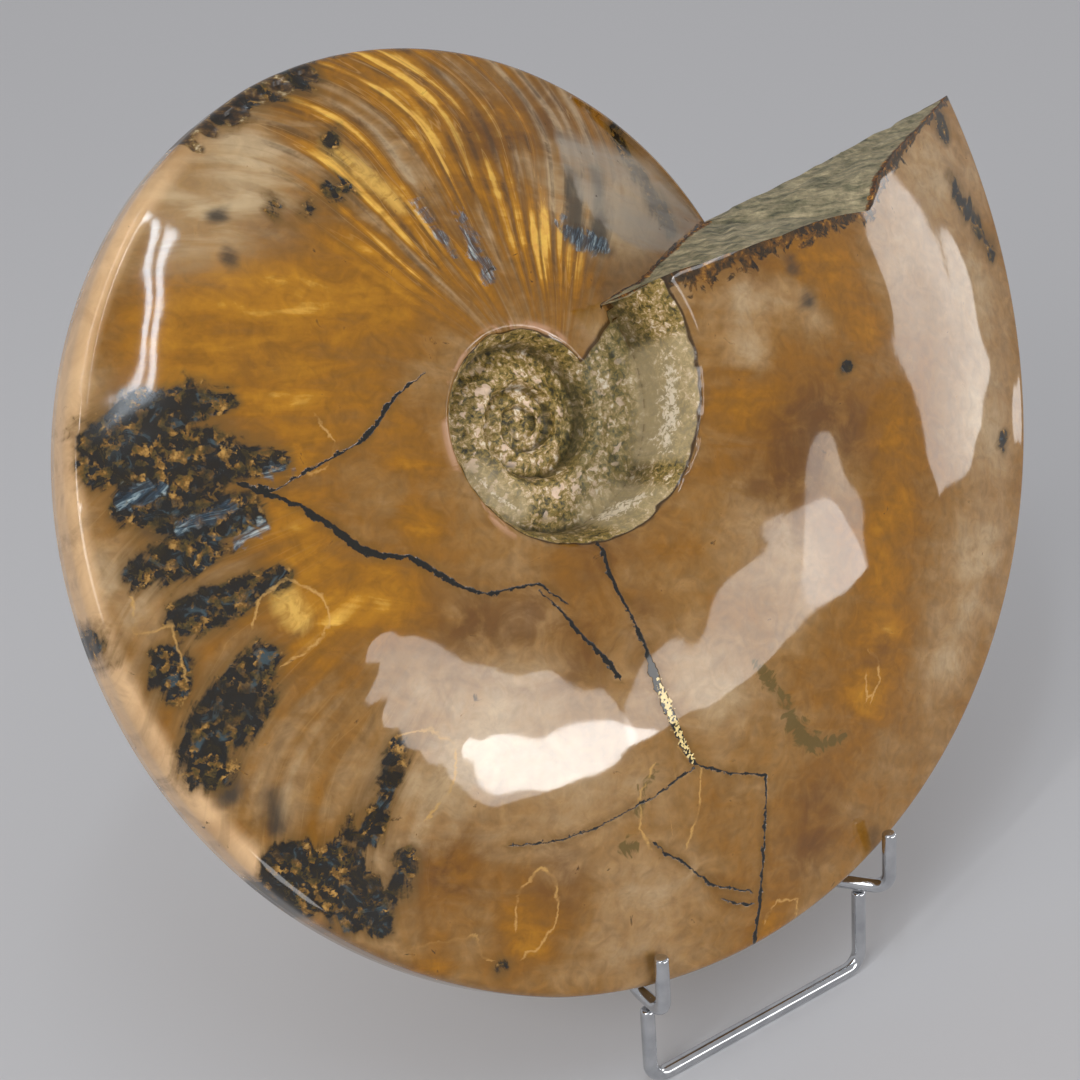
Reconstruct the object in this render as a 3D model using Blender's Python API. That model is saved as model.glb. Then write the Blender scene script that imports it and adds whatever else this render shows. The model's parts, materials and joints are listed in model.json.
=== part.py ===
"""Half of a sawn and polished ammonite, leaning back on a small chromed wire stand.

Blender 4.5, metres, +Z up. The stand's front faces -Y and its feet stand on z = 0.
The origin is on the floor, under the middle of the whole object.
"""

import math

import bmesh
import bpy
from mathutils import Matrix, Vector

MM = 0.001

# The shell. Its spiral grows by the same factor in every turn, seen from the sawn back's normal.
DIAMETER = 200 * MM                 # the spiral's widest part, from the mouth's side to the far side
TURN_GROWTH = 2.10                  # how much the radius grows in one turn
SEAM = 0.19                         # radius where a whorl meets the one before it, over the rim's radius
FLANK_TOP = 0.27                    # radius of the flank's highest line, over the rim's radius
FLANK_HEIGHT = 0.205                # height of that line above the rim, over the rim's radius
FLANK_POWER = 1.8                   # how full the flank's curve is between that line and the rim
WALL = ((0.196, 0.25), (0.204, 0.60), (0.214, 0.82), (0.228, 0.94))  # (radius, share of the wall's climb)
BACK_DEPTH = 7 * MM                 # from the rim's sharp edge to the sawn back
WHORLS = 3.2                        # turns that are modelled before the centre is closed
ROWS_PER_TURN = 72
FLANK_COLUMNS = (0.25, FLANK_TOP, 0.30, 0.345, 0.399, 0.46, 0.53, 0.60, 0.68, 0.76, 0.84, 0.91, 0.96, 1.0)

# The mouth, an oblique cut. Each pair is (radius over the rim's radius, degrees past the first row).
MOUTH_FRONT = ((0.19, -17), (0.228, -12.3), (0.287, -5.4), (0.357, -0.7), (0.436, 2.8), (0.526, 5.3),
               (0.64, 8.6), (0.69, 5.8), (0.76, 4.9), (1.0, 4.6))
MOUTH_FOOT = ((0.19, 0), (0.399, -17), (0.55, -9.2), (0.65, -7.6), (0.76, -6.1), (1.0, -3.2))
MOUTH_BLEND = 50                    # degrees over which the rows turn from the cut to straight ones
TIP_BEVEL = 16 * MM                 # how far the sawn back stops short of the mouth's sharp tip
TIP_BEVEL_END = 40                  # degrees from the mouth where that bevel has run out
GROUND_IN = 2.35 * MM               # how far inside the spiral the rim is ground, opposite the mouth
GROUND_MIDDLE = math.radians(198)   # where along the rim that is deepest
GROUND_SPREAD = 1.23                # the rim is back on the spiral a quarter turn over this either side

# How the shell stands.
LEAN = math.radians(28.8)           # the sawn back leans this far from upright
MOUTH_TURN = math.radians(23.1)     # the first row's direction is this far below the spiral's zero angle
FIRST_ROW = math.radians(42)
POLE = Vector((-15.1, 42.0, 104.4)) * MM   # the spiral's centre, from the middle of the foot rod

# The stand, bent from one gauge of wire.
WIRE = 2.5 * MM
GAP = 0.3 * MM                      # clearance between pieces that touch or are welded
BACK_GAP = 0.5 * MM                 # from the sawn back to the uprights
SIDES = {                           # where the upright and the front post of each side wire stand
    "left": (-22.6 * MM, -23.4 * MM),
    "right": (20.2 * MM, 26.6 * MM),
}
POST_Y = -4.5 * MM
POST_RISE = 11.6 * MM               # post tip above its arm
UPRIGHT_LENGTH = 98 * MM
SIDE_BEND = 3.0 * MM                # bend radius along the wire's centre line
FOOT_HALF = 23.5 * MM
FOOT_BEND = 3.2 * MM
LEG_Y = 96 * MM                     # the rear rod's place behind the foot rod
LEG_HALF_TOP = 15 * MM
LEG_HALF_FLOOR = 25 * MM
BAR_BELOW_TOP = 7 * MM              # the cross bar, from the tips of the uprights
BAR_OVERHANG = 3 * MM
CENTRING = Vector((-3.83, -45.8, 0)) * MM    # moves the origin under the middle of the whole

RADIUS = WIRE / 2
MOUTH_RADIUS = DIAMETER / (1 + TURN_GROWTH ** -0.5)
GROWTH = math.log(TURN_GROWTH) / math.tau
X_AXIS = Vector((1, 0, 0))
UP_SLOPE = Vector((0, math.sin(LEAN), math.cos(LEAN)))
OUTWARD = Vector((0, -math.cos(LEAN), math.sin(LEAN)))


def material(name, colour, roughness, metallic):
    made = bpy.data.materials.new(name)
    made.use_nodes = True
    shader = made.node_tree.nodes["Principled BSDF"]
    shader.inputs["Base Color"].default_value = (*colour, 1)
    shader.inputs["Roughness"].default_value = roughness
    shader.inputs["Metallic"].default_value = metallic
    return made


def between(pairs, place):
    """The value at place on the straight lines through the (place, value) pairs."""
    for (low, start), (high, end) in zip(pairs, pairs[1:]):
        if place <= high:
            return start + (end - start) * (place - low) / (high - low)
    return pairs[-1][1]


def flank_height(ratio):
    """Height above the rim over the rim's radius, from the flank's highest line outwards."""
    across = max(0, ratio - FLANK_TOP) / (1 - FLANK_TOP)
    return FLANK_HEIGHT * (1 - across ** FLANK_POWER)


def whorl_profile():
    """(radius, height) columns of one whorl over its rim's radius, from the seam to the rim."""
    seam = flank_height(SEAM * TURN_GROWTH) / TURN_GROWTH
    wall = [(ratio, seam + (FLANK_HEIGHT - seam) * share) for ratio, share in WALL]
    return [(SEAM, seam), *wall, *((ratio, flank_height(ratio)) for ratio in FLANK_COLUMNS)]


def rim_radius(angle):
    return MOUTH_RADIUS * math.exp(-GROWTH * angle)


def ground_rim(angle):
    """Radius of the rim's ridge: on the spiral, except where it is ground in opposite the mouth."""
    away = min(math.pi / 2, abs(angle - GROUND_MIDDLE) * GROUND_SPREAD)
    return rim_radius(angle) - GROUND_IN * math.cos(away)


def on_shell(angle, radius, height):
    """A point of the shell: angle runs clockwise from the mouth, height is above the rim's plane."""
    turned = FIRST_ROW - MOUTH_TURN - angle
    across = X_AXIS * radius * math.cos(turned)
    return POLE + across + UP_SLOPE * radius * math.sin(turned) + OUTWARD * height


def row_angle(row, ratio):
    """The angle of one row at one column. Near the mouth the rows turn to lie along its cut."""
    blend = MOUTH_BLEND / 360 * ROWS_PER_TURN
    lead = 0
    if row < blend:
        lead = between(MOUTH_FRONT, ratio) * (1 - row / blend) ** 2
    elif abs(row - ROWS_PER_TURN) < blend:
        lead = between(MOUTH_FOOT, ratio) * (1 - abs(row - ROWS_PER_TURN) / blend) ** 2
    return math.tau * row / ROWS_PER_TURN + math.radians(lead)


def sawn_edge(angle):
    """The sawn back's outline, which stops short of the rim near the mouth's tip."""
    share = max(0, 1 - math.degrees(angle) / TIP_BEVEL_END)
    return on_shell(angle, ground_rim(angle) - TIP_BEVEL * share ** 2, -BACK_DEPTH)


def build_shell():
    """One closed body: flank and inner whorls, rim band, mouth and sawn back."""
    profile = whorl_profile()
    covered = next(i for i, (ratio, _) in enumerate(profile) if ratio > SEAM * TURN_GROWTH - 1e-6)
    last_row = round(WHORLS * ROWS_PER_TURN)
    mesh = bmesh.new()
    rows = []
    for row in range(last_row + 1):
        outer = row <= ROWS_PER_TURN
        points = profile if outer else profile[:covered]
        made = []
        for column, (ratio, height) in enumerate(points):
            if row >= ROWS_PER_TURN and column == covered:
                made.append(rows[row - ROWS_PER_TURN][0])
                continue
            angle = row_angle(row, ratio)
            rim = rim_radius(angle)
            if ratio == 1.0:
                ratio = ground_rim(angle) / rim
                height = flank_height(ratio)
            made.append(mesh.verts.new(on_shell(angle, ratio * rim, height * rim)))
        if not outer:
            made.append(rows[row - ROWS_PER_TURN][0])
        rows.append(made)
    for near, far in zip(rows, rows[1:]):
        for column in range(min(len(near), len(far)) - 1):
            mesh.faces.new((near[column], near[column + 1], far[column + 1], far[column]))

    # The centre: the last turn's inner edge and its last row close on one face.
    inner_edge = [row[0] for row in rows[last_row - ROWS_PER_TURN:]]
    mesh.faces.new([*inner_edge, *rows[last_row][1:-1]])

    # The rim band and the sawn back.
    outer_rows = rows[:ROWS_PER_TURN + 1]
    back = [mesh.verts.new(sawn_edge(row_angle(row, 1.0))) for row in range(ROWS_PER_TURN + 1)]
    for row in range(ROWS_PER_TURN):
        rims = outer_rows[row][-1], outer_rows[row + 1][-1]
        mesh.faces.new((rims[0], back[row], back[row + 1], rims[1]))
    mesh.faces.new(list(reversed(back)))

    # The mouth, between its front edge, the whorl that it sits on and the sawn back.
    foot = outer_rows[ROWS_PER_TURN][covered + 1:]
    mesh.faces.new([*outer_rows[0], back[0], back[-1], *reversed(foot)])
    bmesh.ops.recalc_face_normals(mesh, faces=mesh.faces)
    bmesh.ops.triangulate(mesh, faces=[face for face in mesh.faces if len(face.verts) > 4])
    return mesh


def add_mesh_object(name, mesh, finish):
    data = bpy.data.meshes.new(name)
    mesh.to_mesh(data)
    mesh.free()
    data.materials.append(finish)
    data.shade_smooth()
    data.set_sharp_from_angle(angle=math.radians(35))
    made = bpy.data.objects.new(name, data)
    bpy.context.scene.collection.objects.link(made)
    return made


def rounded(corners, bend, steps=5):
    """The path through the corners, with each inner corner turned on an arc."""
    path = [corners[0]]
    for before, corner, after in zip(corners, corners[1:], corners[2:]):
        back, ahead = (before - corner).normalized(), (after - corner).normalized()
        half = back.angle(ahead) / 2
        centre = corner + (back + ahead).normalized() * bend / math.sin(half)
        start = corner + back * bend / math.tan(half) - centre
        turn = Matrix.Rotation
        axis = back.cross(ahead)
        sweep = math.pi - 2 * half
        arc = [centre + turn(-sweep * step / steps, 3, axis) @ start for step in range(steps + 1)]
        path.extend(arc)
    return [*path, corners[-1]]


def add_wire(name, corners, bend, finish):
    curve = bpy.data.curves.new(name, "CURVE")
    curve.dimensions = "3D"
    curve.bevel_depth = RADIUS
    curve.bevel_resolution = 3
    curve.use_fill_caps = True
    spline = curve.splines.new("POLY")
    path = rounded(corners, bend)
    spline.points.add(len(path) - 1)
    for point, place in zip(spline.points, path):
        point.co = (*place, 1)
    curve.materials.append(finish)
    made = bpy.data.objects.new(name, curve)
    bpy.context.scene.collection.objects.link(made)
    return made


def rim_underside(x):
    """The lowest point of the sawn back's outline at x."""
    angles = [math.radians(60 + step / 20) for step in range(1800)]
    return min((sawn_edge(angle) for angle in angles), key=lambda point: abs(point.x - x))


def on_slope(x, along, outward):
    """A point of the leaning plane: along is up the slope from the spiral's centre."""
    return Vector((x, POLE.y, POLE.z)) + UP_SLOPE * along + OUTWARD * outward


def build():
    stone = material("polished_shell", (0.50, 0.27, 0.10), 0.12, 0.0)
    chrome = material("chromed_wire", (0.62, 0.62, 0.64), 0.10, 1.0)
    pieces = [add_mesh_object("ammonite_half", build_shell(), stone)]

    upright_out = -(BACK_DEPTH + BACK_GAP + RADIUS)
    heels = []
    for side, (upright_x, post_x) in SIDES.items():
        arm_z = rim_underside(upright_x).z - GAP - RADIUS
        along = (arm_z - POLE.z - upright_out * OUTWARD.z) / UP_SLOPE.z
        heel = on_slope(upright_x, along, upright_out)
        toe = Vector((post_x, POST_Y, arm_z))
        tip = toe + Vector((0, 0, POST_RISE))
        top = heel + UP_SLOPE * UPRIGHT_LENGTH
        pieces.append(add_wire(f"stand_side_{side}", [tip, toe, heel, top], SIDE_BEND, chrome))
        heels.append(heel)

    risers = [Vector((side * FOOT_HALF, 0, heel.z - RADIUS - GAP)) for side, heel in zip((-1, 1), heels)]
    corners = [Vector((riser.x, 0, RADIUS)) for riser in risers]
    foot = [risers[0], *corners, risers[1]]
    pieces.append(add_wire("stand_foot", foot, FOOT_BEND, chrome))

    bar_out = upright_out - WIRE - GAP
    bar_along = (heels[0] - POLE).dot(UP_SLOPE) + UPRIGHT_LENGTH - BAR_BELOW_TOP
    bar_ends = heels[0].x - BAR_OVERHANG, heels[1].x + BAR_OVERHANG
    bar = [on_slope(end, bar_along, bar_out) for end in bar_ends]
    pieces.append(add_wire("stand_cross_bar", bar, SIDE_BEND, chrome))

    hangers = [on_slope(side * LEG_HALF_TOP, bar_along, bar_out) for side in (-1, 1)]
    feet = [Vector((side * LEG_HALF_FLOOR, LEG_Y, RADIUS)) for side in (-1, 1)]
    starts = [hanger + (foot - hanger).normalized() * (WIRE + GAP) for hanger, foot in zip(hangers, feet)]
    leg = [starts[0], *feet, starts[1]]
    pieces.append(add_wire("stand_rear_leg", leg, FOOT_BEND, chrome))

    for piece in pieces:
        piece.location += CENTRING


for old in list(bpy.data.objects):
    bpy.data.objects.remove(old)
build()
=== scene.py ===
"""Polished half of an ammonite, leaning back on the arms of a small chromed wire stand.

Metres, +Z up, the stand's front towards -Y. Each section below makes one piece.
"""

import json
import math

import bmesh
import bpy
from mathutils import Matrix, Vector, noise

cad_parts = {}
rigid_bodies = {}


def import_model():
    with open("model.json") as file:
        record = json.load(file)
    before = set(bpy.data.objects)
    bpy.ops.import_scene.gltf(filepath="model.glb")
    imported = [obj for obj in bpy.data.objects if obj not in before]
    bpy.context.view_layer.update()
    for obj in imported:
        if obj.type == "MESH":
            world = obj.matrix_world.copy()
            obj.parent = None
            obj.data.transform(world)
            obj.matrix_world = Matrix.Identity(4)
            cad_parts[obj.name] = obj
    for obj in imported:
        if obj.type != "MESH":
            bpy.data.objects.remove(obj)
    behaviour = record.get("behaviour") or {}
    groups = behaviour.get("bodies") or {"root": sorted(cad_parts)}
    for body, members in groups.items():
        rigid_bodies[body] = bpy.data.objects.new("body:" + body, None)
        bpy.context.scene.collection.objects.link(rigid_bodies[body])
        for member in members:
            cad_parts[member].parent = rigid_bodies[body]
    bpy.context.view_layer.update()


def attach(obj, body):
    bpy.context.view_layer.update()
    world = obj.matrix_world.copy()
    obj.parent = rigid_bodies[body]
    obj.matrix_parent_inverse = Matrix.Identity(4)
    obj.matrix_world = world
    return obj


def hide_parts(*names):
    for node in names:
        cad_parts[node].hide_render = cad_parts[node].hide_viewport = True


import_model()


# --- The shell's form -------------------------------------------------------------------------
# A fossil ammonite, sawn along its plane and polished. Its whorls follow one spiral that grows by
# the same factor in every turn, so one cross-section is swept, turned and shrunk row by row.
# Lengths are millimetres in the shell's own plane until the finished mesh is stood up.

MM = 0.001
DIAMETER = 200
TURN_GROWTH = 2.10
SEAM = 0.19                  # radius of the seam between two whorls, over the rim's radius
SHOULDER = 0.25              # where the wall over the seam has become the flank
FLANK_TOP = 0.27             # radius of the flank's highest line, over the rim's radius
FLANK_HEIGHT = 0.205         # height of that line, over the rim's radius
FLANK_POWER = 1.8
BACK_DEPTH = 7               # from the rim's ridge to the sawn back
RIM_ROUND = 1.9              # radius of the rim's polished ridge
FIRST_ROW = 42               # degrees from the shell's own x axis to the mouth
ROWS = 360                   # rows in one turn
SECTOR_ROWS = 45
WHORLS = 4                   # turns down to the innermost one
MOUTH_FRONT = ((0.19, -17), (0.228, -12.3), (0.287, -5.4), (0.357, -0.7), (0.436, 2.8), (0.526, 5.3),
               (0.64, 8.6), (0.69, 5.8), (0.76, 4.9), (1.0, 4.6))
MOUTH_FOOT = ((0.19, 0), (0.399, -17), (0.55, -9.2), (0.65, -7.6), (0.76, -6.1), (1.0, -3.2))
MOUTH_BLEND = 50             # degrees over which the rows turn from the mouth's cut to straight ones
TIP_BEVEL = 16
TIP_BEVEL_END = 40
GROUND_IN = 2.35             # how far inside the spiral the rim is ground, opposite the mouth
GROUND_MIDDLE = 198          # degrees along the rim where that is deepest
GROUND_SPREAD = 1.23
SKIN = 0.12                  # the polished skin is this much inside the facets of the plain solid
RIM_TILT = 63.2              # degrees between the band's face and the flank at the rim
LAST_FLANK = 0.978           # the flank's last column, next to the rim's rounding
ARC_TOP = 0.616              # where the rounding begins, over its radius, above the ridge's own plane
ARC_GROWTH = 0.6             # how much rounder the ridge is where the rim is ground most
WALL_STEPS, INNER_STEPS, FLANK_STEPS, ARC_STEPS = 10, 14, 62, 5
BAND_DROPS = (2.4, 4.4, 6.4)  # columns down the rim's upright band
BACK_EDGE_INSET = 0.4        # the sawn back's edge is eased by this much
BACK_STEPS = 8
POLISHED, MOUTH, BACK = 0, 1, 2  # the shell's three finishes, in the order that its faces number them
LEAN = math.radians(28.8)
MOUTH_TURN = math.radians(23.1)
POLE = Vector((-18.93, -3.8, 104.4)) * MM

MOUTH_RADIUS = DIAMETER / (1 + TURN_GROWTH ** -0.5)
GROWTH = math.log(TURN_GROWTH) / math.tau
INNER = SEAM * TURN_GROWTH   # the inner whorls show up to this ratio, where the next whorl covers them


def between(pairs, place):
    """The value at place on the straight lines through the (place, value) pairs."""
    for (low, start), (high, end) in zip(pairs, pairs[1:]):
        if place <= high:
            return start + (end - start) * max(0, place - low) / (high - low)
    return pairs[-1][1]


def eased(value):
    value = min(1, max(0, value))
    return value * value * (3 - 2 * value)


def rim_radius(angle):
    return MOUTH_RADIUS * math.exp(-GROWTH * math.radians(angle))


def ground_share(angle):
    """How much of the grinding there is along the rim, from 0 to 1."""
    away = min(90, abs(angle - GROUND_MIDDLE) * GROUND_SPREAD)
    return math.cos(math.radians(away))


def flank_height(ratio):
    across = max(0, ratio - FLANK_TOP) / (1 - FLANK_TOP)
    return FLANK_HEIGHT * (1 - across ** FLANK_POWER)


def whorl_height(ratio):
    """Height over the rim's radius, from the seam up the steep wall and out over the flank."""
    if ratio >= SHOULDER:
        return flank_height(ratio)
    seam = flank_height(INNER) / TURN_GROWTH
    climb = max(0, ratio - SEAM) / (SHOULDER - SEAM)
    return seam + (FLANK_HEIGHT - seam) * (1 - (1 - climb) ** 3)


def mouth_lead(angle, ratio):
    """Degrees that a row is turned ahead of its angle, so that rows near the mouth lie along its cut."""
    if angle < MOUTH_BLEND:
        return between(MOUTH_FRONT, ratio) * (1 - angle / MOUTH_BLEND) ** 2
    if abs(angle - 360) < MOUTH_BLEND:
        return between(MOUTH_FOOT, ratio) * (1 - abs(angle - 360) / MOUTH_BLEND) ** 2
    return 0


def spiral_point(angle, radius, height):
    turned = math.radians(FIRST_ROW - angle)
    return Vector((radius * math.cos(turned), radius * math.sin(turned), height))


# The cross-section, from the seam to the sawn back's edge: (ratio, inset, drop below the ridge plane).
section = [(SEAM + (SHOULDER - SEAM) * step / WALL_STEPS, 0, None) for step in range(WALL_STEPS)]
section += [(SHOULDER + (INNER - SHOULDER) * step / INNER_STEPS, 0, None) for step in range(INNER_STEPS)]
section += [(INNER + (LAST_FLANK - INNER) * step / FLANK_STEPS, 0, None) for step in range(FLANK_STEPS + 1)]
for step in range(ARC_STEPS + 1):
    tilt = math.radians(RIM_TILT * (1 - step / ARC_STEPS))
    section.append((1.0, RIM_ROUND * (1 - math.cos(tilt)), RIM_ROUND * (ARC_TOP - math.sin(tilt))))
section += [(1.0, 0, drop) for drop in BAND_DROPS] + [(1.0, BACK_EDGE_INSET, BACK_DEPTH)]


def shell_point(angle, ratio, inset, drop):
    """A point of the plain shell, before its relief."""
    turned = angle + mouth_lead(angle, ratio)
    rim = rim_radius(turned)
    ground = ground_share(turned)
    edge = rim - GROUND_IN * ground - SKIN
    rounder = 1 + ARC_GROWTH * ground
    if drop is None:
        # The flank's last columns close up to where the rounding starts at this angle.
        if ratio > 0.9:
            arc_start = (edge - rounder * RIM_ROUND * (1 - math.cos(math.radians(RIM_TILT)))) / rim
            ratio = 0.9 + (ratio - 0.9) * (arc_start - 0.905) / (LAST_FLANK - 0.9)
        return spiral_point(turned, ratio * rim, whorl_height(ratio) * rim)
    depth = max(0, drop) / BACK_DEPTH
    bevel = TIP_BEVEL * max(0, 1 - turned / TIP_BEVEL_END) ** 2 * depth if angle <= 360 else 0
    if drop < 1.2:
        inset, drop = inset * rounder, drop * rounder
    raised = flank_height(edge / rim) * rim * (1 - depth)
    return spiral_point(turned, edge - inset - bevel, raised - drop)


shell = bmesh.new()
row_angle = shell.verts.layers.float.new("row_angle")
ratio_layer = shell.verts.layers.float.new("ratio")
inset_layer = shell.verts.layers.float.new("inset")
drop_layer = shell.verts.layers.float.new("drop")
NO_DROP = -99                # the drop of a vertex on the flank, which has none
WELD_GAP = 2e-3              # vertices closer than this are one vertex


def turn_and_shrink(degrees):
    smaller = math.exp(-GROWTH * math.radians(degrees))
    return Matrix.Rotation(math.radians(-degrees), 4, "Z") @ Matrix.Scale(smaller, 4)


def sweep(chain_edges, turns):
    """Sweeps a chain round the spiral: a sector of rows first, then doubled copies of it up to one turn."""
    row_step = 360 / ROWS
    ends = chain_edges
    block = [*dict.fromkeys(vert for edge in ends for vert in edge.verts), *ends]
    for _ in range(SECTOR_ROWS):
        grown = bmesh.ops.extrude_edge_only(shell, edges=ends)["geom"]
        fresh = [item for item in grown if isinstance(item, bmesh.types.BMVert)]
        bmesh.ops.transform(shell, matrix=turn_and_shrink(row_step), verts=fresh)
        for vert in fresh:
            vert[row_angle] += row_step
        ends = [item for item in grown if isinstance(item, bmesh.types.BMEdge)]
        cross_edges = dict.fromkeys(edge for vert in fresh for edge in vert.link_edges)
        block += [*grown, *(edge for edge in cross_edges if edge not in ends)]
    span = SECTOR_ROWS * row_step
    while span < 360 * turns:
        part = block if span < 360 else block[:one_turn]
        copied = bmesh.ops.duplicate(shell, geom=part)["geom"]
        fresh = [item for item in copied if isinstance(item, bmesh.types.BMVert)]
        bmesh.ops.transform(shell, matrix=turn_and_shrink(span), verts=fresh)
        for vert in fresh:
            vert[row_angle] += span
        block += copied
        span += min(span, 360)
        if span == 360:
            one_turn = len(block)
    return block


chain = []
for ratio, inset, drop in section:
    vert = shell.verts.new(shell_point(0, ratio, inset, drop))
    vert[ratio_layer] = ratio
    vert[inset_layer] = inset
    vert[drop_layer] = NO_DROP if drop is None else drop
    chain.append(vert)
front_chain = list(chain)
outer_whorl = sweep([shell.edges.new(pair) for pair in zip(chain, chain[1:])], 1)
last_row = [item for item in outer_whorl if isinstance(item, bmesh.types.BMVert) and item[row_angle] == 360]
foot_chain = [vert for vert in last_row if vert[ratio_layer] > INNER - 1e-5]

# The inner whorls start from the same row, and only as far out as the next whorl leaves them showing.
inner_start = [vert for vert in last_row if vert[ratio_layer] < INNER + 1e-5]
started = bmesh.ops.duplicate(shell, geom=inner_start)["geom"]
started.sort(key=lambda vert: vert[ratio_layer])
sweep([shell.edges.new(pair) for pair in zip(started, started[1:])], WHORLS - 1)

# Every vertex goes to its exact place, with the rows near the mouth turned to lie along its cut.
for vert in shell.verts:
    drop = None if vert[drop_layer] == NO_DROP else vert[drop_layer]
    vert.co = shell_point(vert[row_angle], vert[ratio_layer], vert[inset_layer], drop)

flank_faces = list(shell.faces)


def open_chain(points):
    ordered = sorted(points, key=lambda v: (v[ratio_layer], v[drop_layer]))
    return [edge for pair in zip(ordered, ordered[1:]) if (edge := shell.edges.get(pair))]


# The mouth is a strip between its front edge and the whorl that it sits on.
lips = open_chain(front_chain) + open_chain(foot_chain)
bridged = bmesh.ops.bridge_loops(shell, edges=lips)["faces"]
# Edges are gathered in order and never in a set, so that every run builds the same mesh.
bridge_edges = dict.fromkeys(edge for face in bridged for edge in face.edges)
across = [edge for edge in bridge_edges if edge not in lips]
bmesh.ops.subdivide_edges(shell, edges=across, cuts=2 * BACK_STEPS - 1)
known = set(flank_faces)
mouth_faces = [face for face in shell.faces if face not in known]
bmesh.ops.triangulate(shell, faces=[face for face in mouth_faces if len(face.verts) > 4])
mouth_faces = [face for face in shell.faces if face not in known]
known |= set(mouth_faces)

# The sawn back is the same sweep laid flat: its strips run from one whorl's rim to the next one's.
back_chain = []
for step in range(BACK_STEPS + 1):
    vert = shell.verts.new((0, 0, -BACK_DEPTH))
    vert[ratio_layer] = 1 - (1 - 1 / TURN_GROWTH) * step / BACK_STEPS
    vert[row_angle] = 0
    vert[drop_layer] = BACK_DEPTH
    back_chain.append(vert)
back_block = sweep([shell.edges.new(pair) for pair in zip(back_chain, back_chain[1:])], WHORLS)
back_verts = [item for item in back_block if isinstance(item, bmesh.types.BMVert)]

for vert in back_verts:
    angle = vert[row_angle]
    share = (1 - vert[ratio_layer]) / (1 - 1 / TURN_GROWTH)
    outer = shell_point(angle, 1.0, BACK_EDGE_INSET if angle <= 360 else 0, BACK_DEPTH)
    inner = shell_point(angle + 360, 1.0, BACK_EDGE_INSET if angle == 0 else 0, BACK_DEPTH)
    vert.co = outer.lerp(inner, share)
for face in shell.faces:
    if face not in known:
        face.material_index = BACK
for face in mouth_faces:
    face.material_index = MOUTH
bmesh.ops.remove_doubles(shell, verts=shell.verts, dist=WELD_GAP)
centres = bmesh.ops.holes_fill(shell, edges=[edge for edge in shell.edges if edge.is_boundary])["faces"]
for face in centres:
    face.material_index = BACK if face.calc_center_median().z < 0 else POLISHED
for vert in bmesh.ops.poke(shell, faces=centres)["verts"]:
    vert[row_angle] = 360 * WHORLS
    vert[drop_layer] = NO_DROP if vert.co.z > 0 else BACK_DEPTH
bmesh.ops.recalc_face_normals(shell, faces=shell.faces)


# --- The shell's relief and what is drawn in its surface ----------------------------------------
# Low ribs and swells that polishing left, a flat ground facet, chips along the rim, a granular
# umbilicus, and the paths of its cracks and stains, each in millimetres in the shell's own plane.

RIB_PITCH = 4.6              # degrees from one rib to the next
RIB_ZONE = (252, 345)        # where the ribs stand out
FACET = (25.3, -0.26, -0.3743)  # the ground facet: height at the pole, slope along x, slope along y
FACET_ZONE = (318, 358)      # where along the whorl the facet was ground

# Cracks: (x, y, half width). Those of one group don't meet.
CRACKS = (
    (
        ((-21, 5, 0.10), (-26, 1, 0.2), (-31, -6, 0.28), (-37, -10, 0.24), (-45, -15, 0.22), (-50, -14, 0.1)),
        ((7, -19, 0.2), (9, -25, 0.35), (13, -31, 0.3), (16, -36, 0.4), (19, -42, 0.75), (23, -48, 0.7),
         (26, -52, 0.45), (28, -54, 0.3), (36, -55, 0.18), (43, -55, 0.2), (44, -60, 0.22), (45, -65, 0.25),
         (46, -71, 0.22), (47, -76, 0.3), (48, -83, 0.4)),
    ),
    (
        ((-50, -14, 0.2), (-45, -15.5, 0.4), (-41, -17, 0.45), (-36, -20, 0.55), (-32, -23, 0.6),
         (-28, -24, 0.5), (-24, -24, 0.45), (-16, -28, 0.4), (-12, -29, 0.3), (-8, -28, 0.25),
         (-3, -27, 0.25), (2, -30, 0.2)),
        ((22, -66, 0.12), (25, -68, 0.15), (28, -69, 0.2), (36, -73, 0.2), (45, -74, 0.22)),
    ),
    (
        ((-3, -28, 0.15), (1, -31, 0.25), (5, -35, 0.25), (9, -38, 0.45), (12, -41, 0.3)),
        ((28, -54, 0.12), (21, -59, 0.12), (11, -64, 0.12), (5, -66, 0.08), (-4, -67, 0.06)),
        ((38, -75, 0.1), (42, -76, 0.15), (46, -76, 0.12)),
    ),
)
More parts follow.
